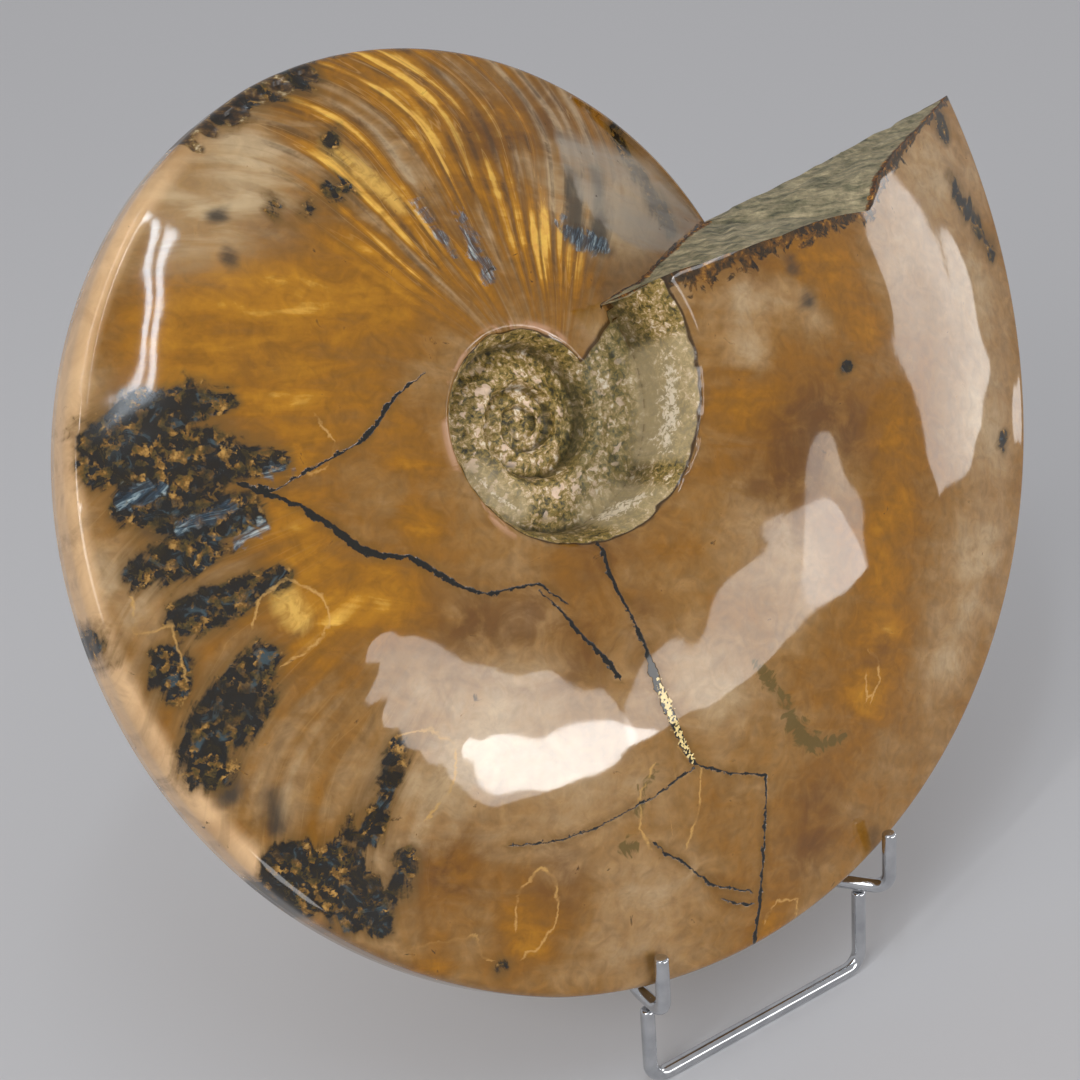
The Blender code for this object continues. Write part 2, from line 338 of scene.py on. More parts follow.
# Dark mineral stains with ragged edges.
STAINS = (
    ((-71, -8, 2.2), (-64, -5, 4), (-57, -2.5, 3), (-51, -2, 1)),
    ((-70, -12, 3), (-62, -11, 4.5), (-54, -10, 4), (-47, -10.5, 2.4), (-43, -11, 1)),
    ((-66, -18, 2), (-58, -17, 2.6), (-53, -14, 2)),
    ((-60, -21, 1.5), (-54, -18.5, 2.5), (-48, -16, 2)),
    ((-64, -28, 1.6), (-58, -25, 2.8), (-52, -21, 2.2), (-47, -18, 1)),
    ((-57, -35, 1.8), (-52, -32, 3.2), (-47, -29, 2.2), (-43, -27, 1)),
    ((-59, -39, 1.5), (-57, -42, 2.5), (-56, -46, 1.2)),
    ((-44, -38, 1.6), (-48, -45, 4.6), (-51, -52, 3.8), (-51, -58, 2)),
    ((-40, -69, 2.5), (-34, -72, 5), (-28, -73, 5.2), (-26, -78, 3)),
    ((-24, -51, 1), (-25, -58, 1.6), (-27, -66, 2.4)),
    ((-20, -68, 1), (-21, -74, 1.7), (-22, -80, 1)),
    ((-50, 44, 0.8), (-44, 50, 1.6), (-38, 53, 2), (-34, 55, 1)),
    ((21, 54, 0.6), (24, 49, 1.2), (26, 45, 0.6)),
    ((27, 44, 0.5), (29, 40, 1.6), (31, 36, 0.8)),
    ((87, 66, 0.8), (88, 64, 1.4), (89, 61, 0.8)),
    ((89, 54, 0.9), (91, 49, 1.2), (94, 48, 1), (98, 44, 1.4), (100, 41, 0.8)),
    ((101, 8, 0.3), (101, 6, 0.9), (101, 4, 0.3)),
    ((-70, -36, 0.6), (-68, -38, 1), (-67, -41, 0.6)),
    ((-33.5, 43, 1.0), (-33, 42.6, 0.8)),
    ((-35, 34, 0.7), (-33, 33.5, 1.0), (-31.5, 34, 0.6)),
    ((-39, 30, 1.2), (-38, 29, 0.8)),
    ((-44, 30, 0.6), (-42.5, 30, 0.5)),
    ((-1.5, -86, 0.8), (0, -85.5, 0.5)),
    ((54, 13, 0.9), (54.5, 12.7, 0.8)),
)
# Soft dark clouds under the surface, and the blue-black flashes among the ribs.
CLOUDS = (
    ((-51, -52, 1.6), (-47, -60, 1.8)),
    ((-42, -59, 1.4), (-40, -65, 1.6)),
    ((-61, -19, 3), (-53, -24, 3)),
    ((-52, 28, 1.6), (-51.5, 27.5, 1.2)),
    ((-51, 21, 1.4), (-50, 21, 1.2)),
    ((9, 43, 1.2), (8.5, 36, 2), (8, 30, 2)),
    ((15, 45, 0.8), (14.5, 38, 1.4), (12, 30, 2.4)),
    ((45, 23, 1.5), (46, 22, 1.2)),
    ((42, 29, 1), (42, 27, 1)),
)
FLASHES = (
    ((-21, 33, 0.8), (-18, 28, 1.2), (-15, 24, 0.7)),
    ((-14, 33, 0.9), (-12, 27, 1.7), (-8.5, 21, 1.1)),
    ((5, 33, 1.2), (9, 30.5, 2.4), (14, 30, 1.8)),
    ((-66, -17, 1.4), (-60, -15, 1.2)),
    ((-58, -21, 1), (-50, -17, 1)),
    ((-46, -12, 1), (-42, -11.5, 1)),
    ((-50, -23, 1), (-46, -20, 1)),
)
# Broad tints: (x, y, reach).
# Smoke: pale milky patches, partly the stone's own haze, partly a painted sheen.
SMOKE_AND_SHEEN = ((-57, 27, 7), (-50, 31, 7), (-46, 35, 6), (9, 38, 6), (15, 36, 6))
HONEY = (
    (-24.2, -9.1, 6), (-60, 10, 8), (-50, 13, 9), (-38, 14, 10), (-29, 16, 9), (-60, -1, 6), (-45, 2, 9),
    (-32, 2, 8), (-40, -8, 7), (33, 30, 7), (43, 32, 8), (52, 30, 8), (60, 20, 6), (66, 4, 7), (67, -12, 8),
    (66, -30, 7), (64, -41, 6), (34, 4, 9), (-40, -21, 7), (1, -76, 5), (4, -80, 5), (-28, -30, 6),
    (-31, 39, 9), (-38, 47, 6), (-16, 57, 7), (-2, 50, 8), (-16, 44, 8), (-13, -70, 8), (-22.6, -18.2, 4),
    (-36, -34, 7), (50, -79, 4), (-13, -84, 4), (-10, 38, 9), (-20, 45, 8), (0, 30, 8), (-24, 26, 7),
)
# Grey-rose zones: partly the stone's own pale pink, partly a painted reflection of the pale softbox band
# across the lower and right flank.
ROSE_AND_REFLECTION = (
    (35, 12.8, 5), (12, 17, 4), (17, 20, 4), (22, 42, 7), (19, 36, 6), (26, 38, 5), (32, 21, 4), (40, 22, 6),
    (46, 20, 5), (82, 52, 10), (90, 30, 12), (95, 10, 12), (92, -14, 14), (84, -34, 8), (-10, -60, 16),
    (10, -56, 16), (-60, -60, 9), (-66, -50, 8), (-68, -30, 6), (30, -42, 10), (20, -76, 10), (-72, 0, 5),
    (-45, 40, 6), (40, -20, 8),
)
UMBER = (
    (6.1, -72.1, 5), (66.0, -33.6, 4), (56.3, -58.8, 5), (-44.4, 25.8, 4), (-46.8, 4.9, 4), (-12.8, -70.5, 6),
    (-14, -34, 6), (-5, -33, 7), (4, -37, 6), (43, 0, 7), (48, 2, 8), (54, 4, 8), (40, -8, 8), (33, 26, 4),
    (8, -22, 5), (14, -33, 5), (56, -66, 5), (46, 34, 4), (-6, 46, 8), (8, 52, 7),
)
# Pale gold veins round chipped flakes and cells: (x, y, half width).
VEINS = (
    ((-47, -36, 0.4), (-46, -31, 0.4), (-42, -28, 0.5), (-37, -30, 0.4), (-35, -34, 0.4), (-38, -38, 0.4),
     (-42, -41, 0.3)),
    ((-64, -31, 0.3), (-63, -36, 0.4), (-60, -36, 0.4), (-58, -34, 0.4), (-57, -38, 0.3), (-55, -43, 0.3)),
    ((-17, -83, 0.3), (-12, -82, 0.4), (-7, -81, 0.3), (-5, -84, 0.4), (-2, -84.5, 0.3)),
    ((0, -80, 0.3), (-1, -74, 0.4), (2, -70, 0.5), (5, -72, 0.4), (7, -78, 0.4), (5, -83, 0.4),
     (2, -84, 0.3)),
    ((-24, -50, 0.3), (-19, -49, 0.4), (-15, -52, 0.4), (-14, -58, 0.4), (-18, -63, 0.3)),
    ((20, -54, 0.4), (18, -58, 0.4), (19, -64, 0.4), (22, -67, 0.5)),
    ((24, -51, 0.3), (29, -54, 0.4), (30, -61, 0.5), (29, -67, 0.3)),
    ((-39, -3, 0.3), (-36, -7, 0.3), (-37, -11, 0.3), (-43, -13, 0.3)),
    ((63, -34, 0.3), (66, -35, 0.4), (67, -39, 0.4), (65, -42, 0.4), (63, -38, 0.3)),
    ((49, -79, 0.3), (51, -75, 0.3), (56, -75, 0.4), (56, -80, 0.3)),
)
OLIVE = (
    ((37, -37, 0.6), (41, -40, 1.4), (46, -45, 1.6), (50, -49, 2), (55, -50, 1.4), (61, -48, 0.7)),
    ((18, -62, 0.9), (18.5, -58, 0.6), (21, -54, 0.5)),
    ((16, -67, 1.2), (19, -67, 1)),
)
GILT = (
    ((-35, 41.6, 0.6), (-33.1, 39.9, 1.4), (-29.5, 37.3, 1.6), (-26, 34.1, 1.2), (-23.1, 30.8, 0.5)),
    ((-43.2, -29.5, 1.6), (-41.6, -32.4, 2.2), (-39.3, -34.6, 1.5)),
)
PYRITE = (((18, -39, 0.3), (20, -43, 1.2), (23, -48, 1.1), (26, -52, 1.0), (28, -54, 0.6)),)
# White nacre that still lines the umbilicus wall.
NACRE = (
    ((20.2, 12.8, 0.5), (21.7, 7.5, 0.7), (22, 1.2, 0.8), (21.1, -4.1, 0.6)),
    ((18.2, -10.6, 0.5), (15.2, -12.7, 0.9), (11.4, -15.2, 0.7)),
    ((-9.8, -8.8, 0.3), (-5.6, -12, 0.6), (-1.2, -14.4, 0.4)),
)
CHIPS = (255, 286)           # degrees along the rim where its edge is chipped
CHIP_DEPTH = 0.9
CENTRE_RISE = 4.5            # the innermost coils stand this much proud of the spiral's own form
CENTRE_REACH = 16
CHAMBERS = 26                # chambers in one turn, on the sawn back
EDGE_BAND = 5.0              # the crumbly rust-brown band along the mouth's front edge
FAR = -9                     # how far outside a blot still counts
LINE_REACH = 5               # how far from a crack or a vein its distance is kept


NO_LINE = (LINE_REACH, -LINE_REACH)


def nearest(path, x, y):
    """(signed distance, width) at the nearest place of a path of (x, y, width)."""
    best = (99.0, 0.0)
    for (x1, y1, w1), (x2, y2, w2) in zip(path, path[1:]):
        along_x, along_y = x2 - x1, y2 - y1
        length = along_x * along_x + along_y * along_y
        share = ((x - x1) * along_x + (y - y1) * along_y) / length
        held = min(1, max(0, share))
        gap = math.hypot(x - x1 - held * along_x, y - y1 - held * along_y)
        if gap < abs(best[0]):
            side = 1 if along_x * (y - y1) - along_y * (x - x1) > 0 else -1
            width = w1 + (w2 - w1) * held
            beyond = abs(share - held) * math.sqrt(length)
            best = (side * gap, width - beyond)
    return best


def line_field(paths, x, y):
    """The signed distance to the nearest line and its half width there, negative away from it."""
    side, width = min((nearest(path, x, y) for path in paths), key=lambda found: abs(found[0]))
    return (side, width) if abs(side) < LINE_REACH else NO_LINE


def blot_field(paths, x, y):
    """Millimetres inside the nearest blot, or the distance to it as a negative number."""
    return max(FAR, max(width - abs(side) for side, width in (nearest(path, x, y) for path in paths)))


def tint_field(spots, x, y):
    clear = 1.0
    for spot_x, spot_y, reach in spots:
        clear *= 1 - 0.9 * math.exp(-((x - spot_x) ** 2 + (y - spot_y) ** 2) / (reach * reach))
    return 1 - clear


def whereabouts(vert):
    """(angle round the spiral, ratio) of a vertex, from its place."""
    turned = (FIRST_ROW - math.degrees(math.atan2(vert.co.y, vert.co.x))) % 360
    turned += 360 * round((vert[row_angle] - turned) / 360)
    return turned, math.hypot(vert.co.x, vert.co.y) / rim_radius(turned)


def rib_phase(angle, ratio):
    """Degrees along the whorl, bent so that one value runs along one sickle-shaped rib."""
    outer = max(0, ratio - 0.72) / 0.28
    inner = max(0, 0.5 - ratio) / 0.25
    return angle + 10 * outer ** 2 - 6 * inner ** 2


def grain_share(angle, ratio, place):
    """How much of the rough umbilicus a place has."""
    rough = noise.noise(place / 3) * 0.005
    wall = 1 - eased((ratio + rough - 0.217) / 0.009)
    under = eased((angle + rough * 300 - 347) / 8) * (1 - eased((ratio - 0.385) / 0.03))
    return max(wall, under)


surface = shell.verts.layers.float_vector.new("surface_place")
growth = shell.verts.layers.float_vector.new("growth")
grain_layer = shell.verts.layers.float.new("grain")
crack_side = shell.verts.layers.float_vector.new("crack_side")
crack_width = shell.verts.layers.float_vector.new("crack_width")
vein_layer = shell.verts.layers.float_vector.new("vein")
blots = shell.verts.layers.float_vector.new("blots")
tints = shell.verts.layers.float_vector.new("tints")
shades = shell.verts.layers.float_vector.new("shades")
mouth_edge = shell.verts.layers.float.new("mouth_edge")
zones = shell.verts.layers.float_vector.new("zones")
lip_layer = shell.verts.layers.float.new("lip")
coils = shell.verts.layers.float_vector.new("coils")
chambers = shell.verts.layers.float_vector.new("chambers")
gilt_layer = shell.verts.layers.float.new("gilt")

shell.normal_update()
plain_normals = {vert: vert.normal.copy() for vert in shell.verts}
for vert in shell.verts:
    place = vert.co.copy()
    vert[surface] = place
    # A whole number of chambers fits one turn, so neighbours agree where one whorl meets the next.
    turned = FIRST_ROW - math.degrees(math.atan2(place.y, place.x))
    size = math.log(max(0.2, math.hypot(place.x, place.y)) / rim_radius(turned % 360))
    coil_place = -size / math.log(TURN_GROWTH)
    swing = math.tau * turned * CHAMBERS / 360
    vert[chambers] = (math.cos(swing), math.sin(swing), abs(coil_place - round(coil_place)))
    materials = {face.material_index for face in vert.link_faces}
    if POLISHED not in materials:
        if materials == {MOUTH}:
            along_beds = place.x * 0.05 + place.y * 0.10
            over_beds = place.x * 0.55 - place.y * 0.30
            bedding = noise.noise(Vector((along_beds, over_beds, place.z * 0.2)))
            vert.co += plain_normals[vert] * (0.7 * bedding + 0.25 * noise.noise(place / 1.3) - 0.4)
        continue
    vert[mouth_edge] = 1.0 if MOUTH in materials else 0.0
    angle, ratio = whereabouts(vert)
    phase = rib_phase(angle, ratio)
    ribbed = eased((angle - RIB_ZONE[0]) / 18) * eased((RIB_ZONE[1] - angle) / 18)
    faint = eased((angle - 135) / 20) * eased((225 - angle) / 20) * eased((ratio - 0.45) / 0.25)
    ribbed = max(ribbed, 0.35 * faint) * (0.4 + 0.6 * eased((ratio - 0.28) / 0.18))
    vert[growth] = (phase, ratio, ribbed)
    if 0 < vert[row_angle] < 8:
        from_mouth = math.radians(vert[row_angle]) * math.hypot(place.x, place.y)
        band = EDGE_BAND * (0.3 + 0.7 * eased((0.86 - ratio) / 0.1))
        vert[mouth_edge] = max(0, 1 - from_mouth / band)
    grain = grain_share(angle, ratio, place) if ratio < 0.45 else 0
    vert[grain_layer] = grain
    # A coil's crest and the seams either side of it have the same value on both sides of a seam.
    crest = eased((ratio - 0.205) / 0.06) * eased((0.392 - ratio) / 0.09)
    groove = max(1 - eased((ratio - SEAM) / 0.022), eased((ratio - 0.378) / 0.021))
    if math.hypot(place.x, place.y) < 2.5:
        crest, groove = 0.3, 0.2
    # Painted shade: the umbilicus's deep mouth side, darkened in the shader.
    shaded_mouth_side = eased((place.x - 5) / 5) * eased((angle - 300) / 30)
    vert[coils] = (crest, groove, shaded_mouth_side)
    x, y = place.x, place.y
    if angle < 364 or ratio > 0.3:
        lines = [line_field(group, x, y) for group in CRACKS]
        vert[crack_side] = [side for side, _ in lines]
        vert[crack_width] = [width for _, width in lines]
        vert[gilt_layer] = eased((blot_field(GILT, x, y) + 1.2) / 2.2)
        vein = line_field(VEINS, x, y)
        vert[vein_layer] = (*vein, blot_field(PYRITE, x, y))
        vert[blots] = (blot_field(STAINS, x, y), blot_field(CLOUDS, x, y), blot_field(FLASHES, x, y))
        vert[tints] = (tint_field(HONEY, x, y), tint_field(ROSE_AND_REFLECTION, x, y), tint_field(UMBER, x, y))
        chipped = eased((angle - CHIPS[0]) / 4) * eased((CHIPS[1] - angle) / 3)
        chipped *= eased((ratio - 0.925) / 0.04)
        chipped *= eased(0.55 + 1.6 * noise.noise(Vector((angle / 2.2, ratio * 9, 3))))
        vert[zones] = (0, blot_field(NACRE, x, y) if math.hypot(x, y) < 32 else FAR, chipped)
        lip_along = eased((angle - 140) / 20) * eased((338 - angle) / 10)
        vert[lip_layer] = eased((ratio - 0.222) / 0.008) * eased((0.254 - ratio) / 0.016) * lip_along
        # Painted light: the left rim's outer edge, which the shader paints paler.
        lit_rim_side = eased((ratio - 0.93) / 0.03) * eased((angle - 150) / 14) * eased((262 - angle) / 16)
        vert[shades] = (tint_field(SMOKE_AND_SHEEN, x, y), blot_field(OLIVE, x, y), lit_rim_side)
    else:
        vert[crack_side] = [NO_LINE[0]] * 3
        vert[crack_width] = [NO_LINE[1]] * 3
        vert[vein_layer] = (*NO_LINE, FAR)
        vert[blots] = (FAR, FAR, FAR)
        vert[shades] = (0, FAR, 0)
        vert[zones] = (0, blot_field(NACRE, x, y), 0)

    on_flank = vert[drop_layer] == NO_DROP and materials == {POLISHED}
    if not on_flank:
        continue
    inward = eased((1 - ratio) / 0.06)
    swell = 0.35 * noise.noise(place / 26) + 0.12 * noise.noise(place / 9)
    deep = eased((ratio - 0.3) / 0.2)
    rib = ribbed * deep * (0.09 + 0.07 * noise.noise(place / 15)) * math.cos(math.tau * phase / RIB_PITCH)
    relief = (swell + rib) * inward * (1 - grain) - 0.2 * inward
    crumbs = 0.5 * noise.noise(place / 1.1) + 0.7 * noise.noise(place / 2.6)
    relief += grain * (0.65 * crumbs - 0.1)
    relief -= CHIP_DEPTH * vert[zones].z * (0.6 + 0.8 * noise.noise(place / 0.9))
    vert.co += plain_normals[vert] * relief
    vert.co.z += CENTRE_RISE * (1 - eased(math.hypot(x, y) / CENTRE_REACH))
    if FACET_ZONE[0] < angle < FACET_ZONE[1] and ratio > 0.45:
        ground = FACET[0] + FACET[1] * x + FACET[2] * y
        cut_away = vert.co.z - ground
        vert[zones] = (eased(cut_away / 0.15) * eased((52 - y) / 4), vert[zones].y, vert[zones].z)
        vert.co.z = min(vert.co.z, ground)


# --- Standing the shell up -----------------------------------------------------------------------
# The half leans back on the stand with its mouth to the upper right.

SHARP_ANGLE = math.radians(50)  # edges bent more than this stay sharp
UP_SLOPE = Vector((0, math.sin(LEAN), math.cos(LEAN)))
OUTWARD = Vector((0, -math.cos(LEAN), math.sin(LEAN)))
ACROSS = Vector((1, 0, 0))
shell_x = ACROSS * math.cos(MOUTH_TURN) - UP_SLOPE * math.sin(MOUTH_TURN)
shell_y = ACROSS * math.sin(MOUTH_TURN) + UP_SLOPE * math.cos(MOUTH_TURN)
stand_up = Matrix((shell_x, shell_y, OUTWARD)).transposed().to_4x4()
stand_up.translation = POLE


def number_by_place(mesh):
    """Sorts vertices by place, then edges and faces by their vertices: each run stores them alike."""
    for items, place in (
        (mesh.verts, lambda vert: tuple(vert.co)),
        (mesh.edges, lambda edge: sorted(vert.index for vert in edge.verts)),
        (mesh.faces, lambda face: sorted(vert.index for vert in face.verts)),
    ):
        for number, item in enumerate(sorted(items, key=place)):
            item.index = number
        items.sort()


bmesh.ops.transform(shell, matrix=stand_up @ Matrix.Scale(MM, 4), verts=shell.verts)
bmesh.ops.recalc_face_normals(shell, faces=shell.faces)
number_by_place(shell)
shell_mesh = bpy.data.meshes.new("ammonite_half_shell")
shell.to_mesh(shell_mesh)
shell.free()
shell_mesh.shade_smooth()
shell_mesh.set_sharp_from_angle(angle=SHARP_ANGLE)
ammonite = bpy.data.objects.new("ammonite_half_shell", shell_mesh)
bpy.context.scene.collection.objects.link(ammonite)
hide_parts("ammonite_half")
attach(ammonite, "root")


# --- The shell's polished finish -------------------------------------------------------------------
# Nacre and calcite, ground and polished like glass: amber, honey and tan bands that follow the
# growth lines, ink-dark mineral stains, fine pale veins and dark cracks, all under one clear gloss.


def colour(code):
    """A hex colour as linear red, green, blue and alpha."""
    parts = [int(code[place:place + 2], 16) / 255 for place in (1, 3, 5)]
    return (*(part / 12.92 if part <= 0.04045 else ((part + 0.055) / 1.055) ** 2.4 for part in parts), 1)


def node(tree, kind, inputs, out=0, stops=(), **settings):
    """Adds one node, feeds its inputs with values or sockets, and gives back one output socket."""
    made = tree.nodes.new("ShaderNode" + kind)
    for name, value in settings.items():
        setattr(made, name, value)
    for name, value in inputs.items():
        if isinstance(value, bpy.types.NodeSocket):
            tree.links.new(value, made.inputs[name])
        else:
            made.inputs[name].default_value = value
    for place, (position, code) in enumerate(stops):
        steps = made.color_ramp.elements
        step = steps[place] if place < 2 else steps.new(position)
        step.position = position
        step.color = colour(code)
    return made.outputs[out]


def new_material(name):
    made = bpy.data.materials.new(name)
    made.use_nodes = True
    return made, made.node_tree, made.node_tree.nodes["Principled BSDF"]


polished, tree, shader = new_material("polished_nacre_and_calcite")
place = node(tree, "Attribute", {}, out="Vector", attribute_name="surface_place")
grown = node(tree, "Attribute", {}, out="Vector", attribute_name="growth")
grain = node(tree, "Attribute", {}, out="Fac", attribute_name="grain")
fields = {}
for layer in ("crack_side", "crack_width", "vein", "blots", "tints", "shades", "growth", "zones"):
    whole = node(tree, "Attribute", {}, out="Vector", attribute_name=layer)
    fields[layer] = [node(tree, "SeparateXYZ", {0: whole}, out=part) for part in range(3)]
stain, cloud, flash = fields["blots"]
honey, rose_and_reflection, umber = fields["tints"]
smoke_and_sheen, olive, lit_rim = fields["shades"]
facet, nacre, chip = fields["zones"]
phase, _, ribbed = fields["growth"]
lip = node(tree, "Attribute", {}, out="Fac", attribute_name="lip")

# Noise at the sizes of the stone's own patches: 24 mm, 7 mm, 1.8 mm and 0.5 mm.
broad = node(tree, "TexNoise", {"Vector": place, "Scale": 1 / 24, "Detail": 4, "Distortion": 0.6})
middle = node(tree, "TexNoise", {"Vector": place, "Scale": 1 / 7, "Detail": 5, "Roughness": 0.6,
                                 "Distortion": 0.8})
small = node(tree, "TexNoise", {"Vector": place, "Scale": 1 / 1.8, "Detail": 3, "Roughness": 0.65})
fine = node(tree, "TexNoise", {"Vector": place, "Scale": 1 / 0.5, "Detail": 1})
# Wisps lie level across the standing shell, about 18 mm long and 4.5 mm high.
level = node(tree, "Mapping", {"Vector": place, "Rotation": (0, 0, -MOUTH_TURN),
                               "Scale": (1 / 18, 1 / 4.5, 1 / 9)})
wisps = node(tree, "TexNoise", {"Vector": level, "Scale": 1, "Detail": 4, "Roughness": 0.55,
                                "Distortion": 0.6})
# Feathers point at the umbilicus, about 16 mm long and 5 mm across.
fanned = node(tree, "VectorMath", {0: grown, 1: (1 / 3.4, 5.5, 0)}, operation="MULTIPLY")
feathers = node(tree, "TexNoise", {"Vector": fanned, "Scale": 1, "Detail": 4, "Roughness": 0.55,
                                   "Distortion": 0.8})
blotchy = node(tree, "TexNoise", {"Vector": place, "Scale": 1 / 3.6, "Detail": 4, "Roughness": 0.58,
                                  "Distortion": 1.5})
speckle = node(tree, "TexNoise", {"Vector": place, "Scale": 1 / 1.7, "Detail": 3, "Roughness": 0.62,
                                  "Distortion": 0.3})
rib_wide = node(tree, "VectorMath", {0: grown, 1: (1 / 4.6, 1.6, 0)}, operation="MULTIPLY")
streaks = node(tree, "TexNoise", {"Vector": rib_wide, "Scale": 1, "Detail": 3, "Roughness": 0.5,
                                  "Distortion": 0.6})
rib_thin = node(tree, "VectorMath", {0: grown, 1: (1 / 0.9, 3.0, 0)}, operation="MULTIPLY")
threads = node(tree, "TexNoise", {"Vector": rib_thin, "Scale": 1, "Detail": 3, "Roughness": 0.7,
                                  "Distortion": 0.3})

# Warmth runs from grey rose through tan and amber to honey gold.
warmth = node(tree, "Math", {0: broad, 1: 0.50, 2: 0.02}, operation="MULTIPLY_ADD")
warmth = node(tree, "Math", {0: middle, 1: 0.28, 2: warmth}, operation="MULTIPLY_ADD")
rib_gain = node(tree, "Math", {0: ribbed, 1: 1.15, 2: 0.10}, operation="MULTIPLY_ADD")
rib_turn = node(tree, "Math", {0: streaks, 1: 3.0, 2: phase}, operation="MULTIPLY_ADD")
rib_turn = node(tree, "Math", {0: rib_turn, 1: math.tau / RIB_PITCH}, operation="MULTIPLY")
rib_wave = node(tree, "Math", {0: rib_turn}, operation="COSINE")
rib_tone = node(tree, "Math", {0: rib_wave, 1: ribbed}, operation="MULTIPLY")
warmth = node(tree, "Math", {0: rib_tone, 1: 0.07, 2: warmth}, operation="MULTIPLY_ADD")
rib_share = node(tree, "Math", {0: streaks, 1: 0.5}, operation="SUBTRACT")
rib_gold = node(tree, "Math", {0: honey, 1: ribbed}, operation="MULTIPLY")
rib_gain = node(tree, "Math", {0: rib_gold, 1: 0.7, 2: rib_gain}, operation="MULTIPLY_ADD")
warmth = node(tree, "Math", {0: rib_share, 1: rib_gain, 2: warmth}, operation="MULTIPLY_ADD")
wisp_share = node(tree, "Math", {0: wisps, 1: 0.5}, operation="SUBTRACT")
wisp_gain = node(tree, "Math", {0: honey, 1: 0.50, 2: 0.20}, operation="MULTIPLY_ADD")
warmth = node(tree, "Math", {0: wisp_share, 1: wisp_gain, 2: warmth}, operation="MULTIPLY_ADD")
warmth = node(tree, "Math", {0: honey, 1: 0.24, 2: warmth}, operation="MULTIPLY_ADD")
# Grey rose lowers the warmth: partly the stone's own pale pink, partly a painted reflection.
warmth = node(tree, "Math", {0: rose_and_reflection, 1: -0.22, 2: warmth}, operation="MULTIPLY_ADD")
base = node(tree, "ValToRGB", {"Fac": warmth}, stops=(
    (0.16, "#a58a66"), (0.86, "#d8a646"), (0.28, "#94734a"), (0.39, "#85602f"), (0.49, "#7f5416"),
    (0.60, "#8b5a06"), (0.73, "#a26c0c")))
# Crystals a few millimetres across make every band uneven.
mottle = node(tree, "Math", {0: small, 1: 0.45, 2: -0.225}, operation="MULTIPLY_ADD")
mottle = node(tree, "Math", {0: blotchy, 1: 1.0, 2: mottle}, operation="MULTIPLY_ADD")
mottle = node(tree, "ValToRGB", {"Fac": mottle}, stops=((0.30, "#a2a2a2"), (0.70, "#d6d6d6")))
base = node(tree, "Mix", {0: 0.55, 6: base, 7: mottle}, out=2, data_type="RGBA", blend_type="OVERLAY")
umber_share = node(tree, "MapRange", {"Value": middle, "From Min": 0.35, "From Max": 0.6, "To Min": 0.2,
                                      "To Max": 0.8}, interpolation_type="SMOOTHSTEP")
umber_share = node(tree, "Math", {0: umber_share, 1: umber}, operation="MULTIPLY")
base = node(tree, "Mix", {0: umber_share, 6: base, 7: colour("#543311")}, out=2, data_type="RGBA")
# Pale milky smoke, partly the stone's own haze, partly a painted sheen.
smoke_and_sheen_share = node(tree, "MapRange", {"Value": wisps, "From Min": 0.3, "From Max": 0.62, "To Min": 0.85,
                                      "To Max": 0.30}, interpolation_type="SMOOTHSTEP")
smoke_and_sheen_share = node(tree, "Math", {0: smoke_and_sheen_share, 1: smoke_and_sheen}, operation="MULTIPLY")
base = node(tree, "Mix", {0: smoke_and_sheen_share, 6: base, 7: colour("#c6ae88")}, out=2, data_type="RGBA")

gilt = node(tree, "Attribute", {}, out="Fac", attribute_name="gilt")
gilt_patch = node(tree, "MapRange", {"Value": blotchy, "From Min": 0.36, "From Max": 0.58, "To Min": 0.3,
                                     "To Max": 0.8}, interpolation_type="SMOOTHSTEP")
gilt = node(tree, "Math", {0: gilt, 1: gilt_patch}, operation="MULTIPLY")
base = node(tree, "Mix", {0: gilt, 6: base, 7: colour("#d8ac54")}, out=2, data_type="RGBA")

# Painted light: the left rim, where the light from the left falls, is painted a pale cream-tan.
lit_rim_share = node(tree, "MapRange", {"Value": middle, "From Min": 0.3, "From Max": 0.7, "To Min": 0.95,
                                    "To Max": 0.6})
lit_rim_share = node(tree, "Math", {0: lit_rim_share, 1: lit_rim}, operation="MULTIPLY")
base = node(tree, "Mix", {0: lit_rim_share, 6: base, 7: colour("#dcb486")}, out=2, data_type="RGBA")

# Among the ribs: brown threads, and thin cream growth lines between them.
thread_share = node(tree, "MapRange", {"Value": threads, "From Min": 0.50, "From Max": 0.72, "To Max": 0.28},
                    interpolation_type="SMOOTHSTEP")
thread_share = node(tree, "Math", {0: thread_share, 1: ribbed}, operation="MULTIPLY")
base = node(tree, "Mix", {0: thread_share, 6: base, 7: colour("#3f2a12")}, out=2, data_type="RGBA")
# Painted shade: the grooves between the ribs are darkened dark brown along the ribs' own wave.
rib_groove_shade = node(tree, "MapRange", {"Value": rib_wave, "From Min": -1.0, "From Max": -0.25, "To Min": 0.6,
                                       "To Max": 0.0}, interpolation_type="SMOOTHSTEP")
rib_groove_shade = node(tree, "Math", {0: rib_groove_shade, 1: ribbed}, operation="MULTIPLY")
deep_part = node(tree, "MapRange", {"Value": middle, "From Min": 0.40, "From Max": 0.60},
                 interpolation_type="SMOOTHSTEP")
rib_groove_shade = node(tree, "Math", {0: rib_groove_shade, 1: deep_part}, operation="MULTIPLY")
base = node(tree, "Mix", {0: rib_groove_shade, 6: base, 7: colour("#473114")}, out=2, data_type="RGBA")
line_gap = node(tree, "Math", {0: streaks, 1: 0.54}, operation="SUBTRACT")
line_gap = node(tree, "Math", {0: line_gap}, operation="ABSOLUTE")
line_share = node(tree, "MapRange", {"Value": line_gap, "From Min": 0.0, "From Max": 0.010, "To Min": 0.18,
                                     "To Max": 0.0}, interpolation_type="SMOOTHSTEP")
line_share = node(tree, "Math", {0: line_share, 1: ribbed}, operation="MULTIPLY")
base = node(tree, "Mix", {0: line_share, 6: base, 7: colour("#e0b878")}, out=2, data_type="RGBA")

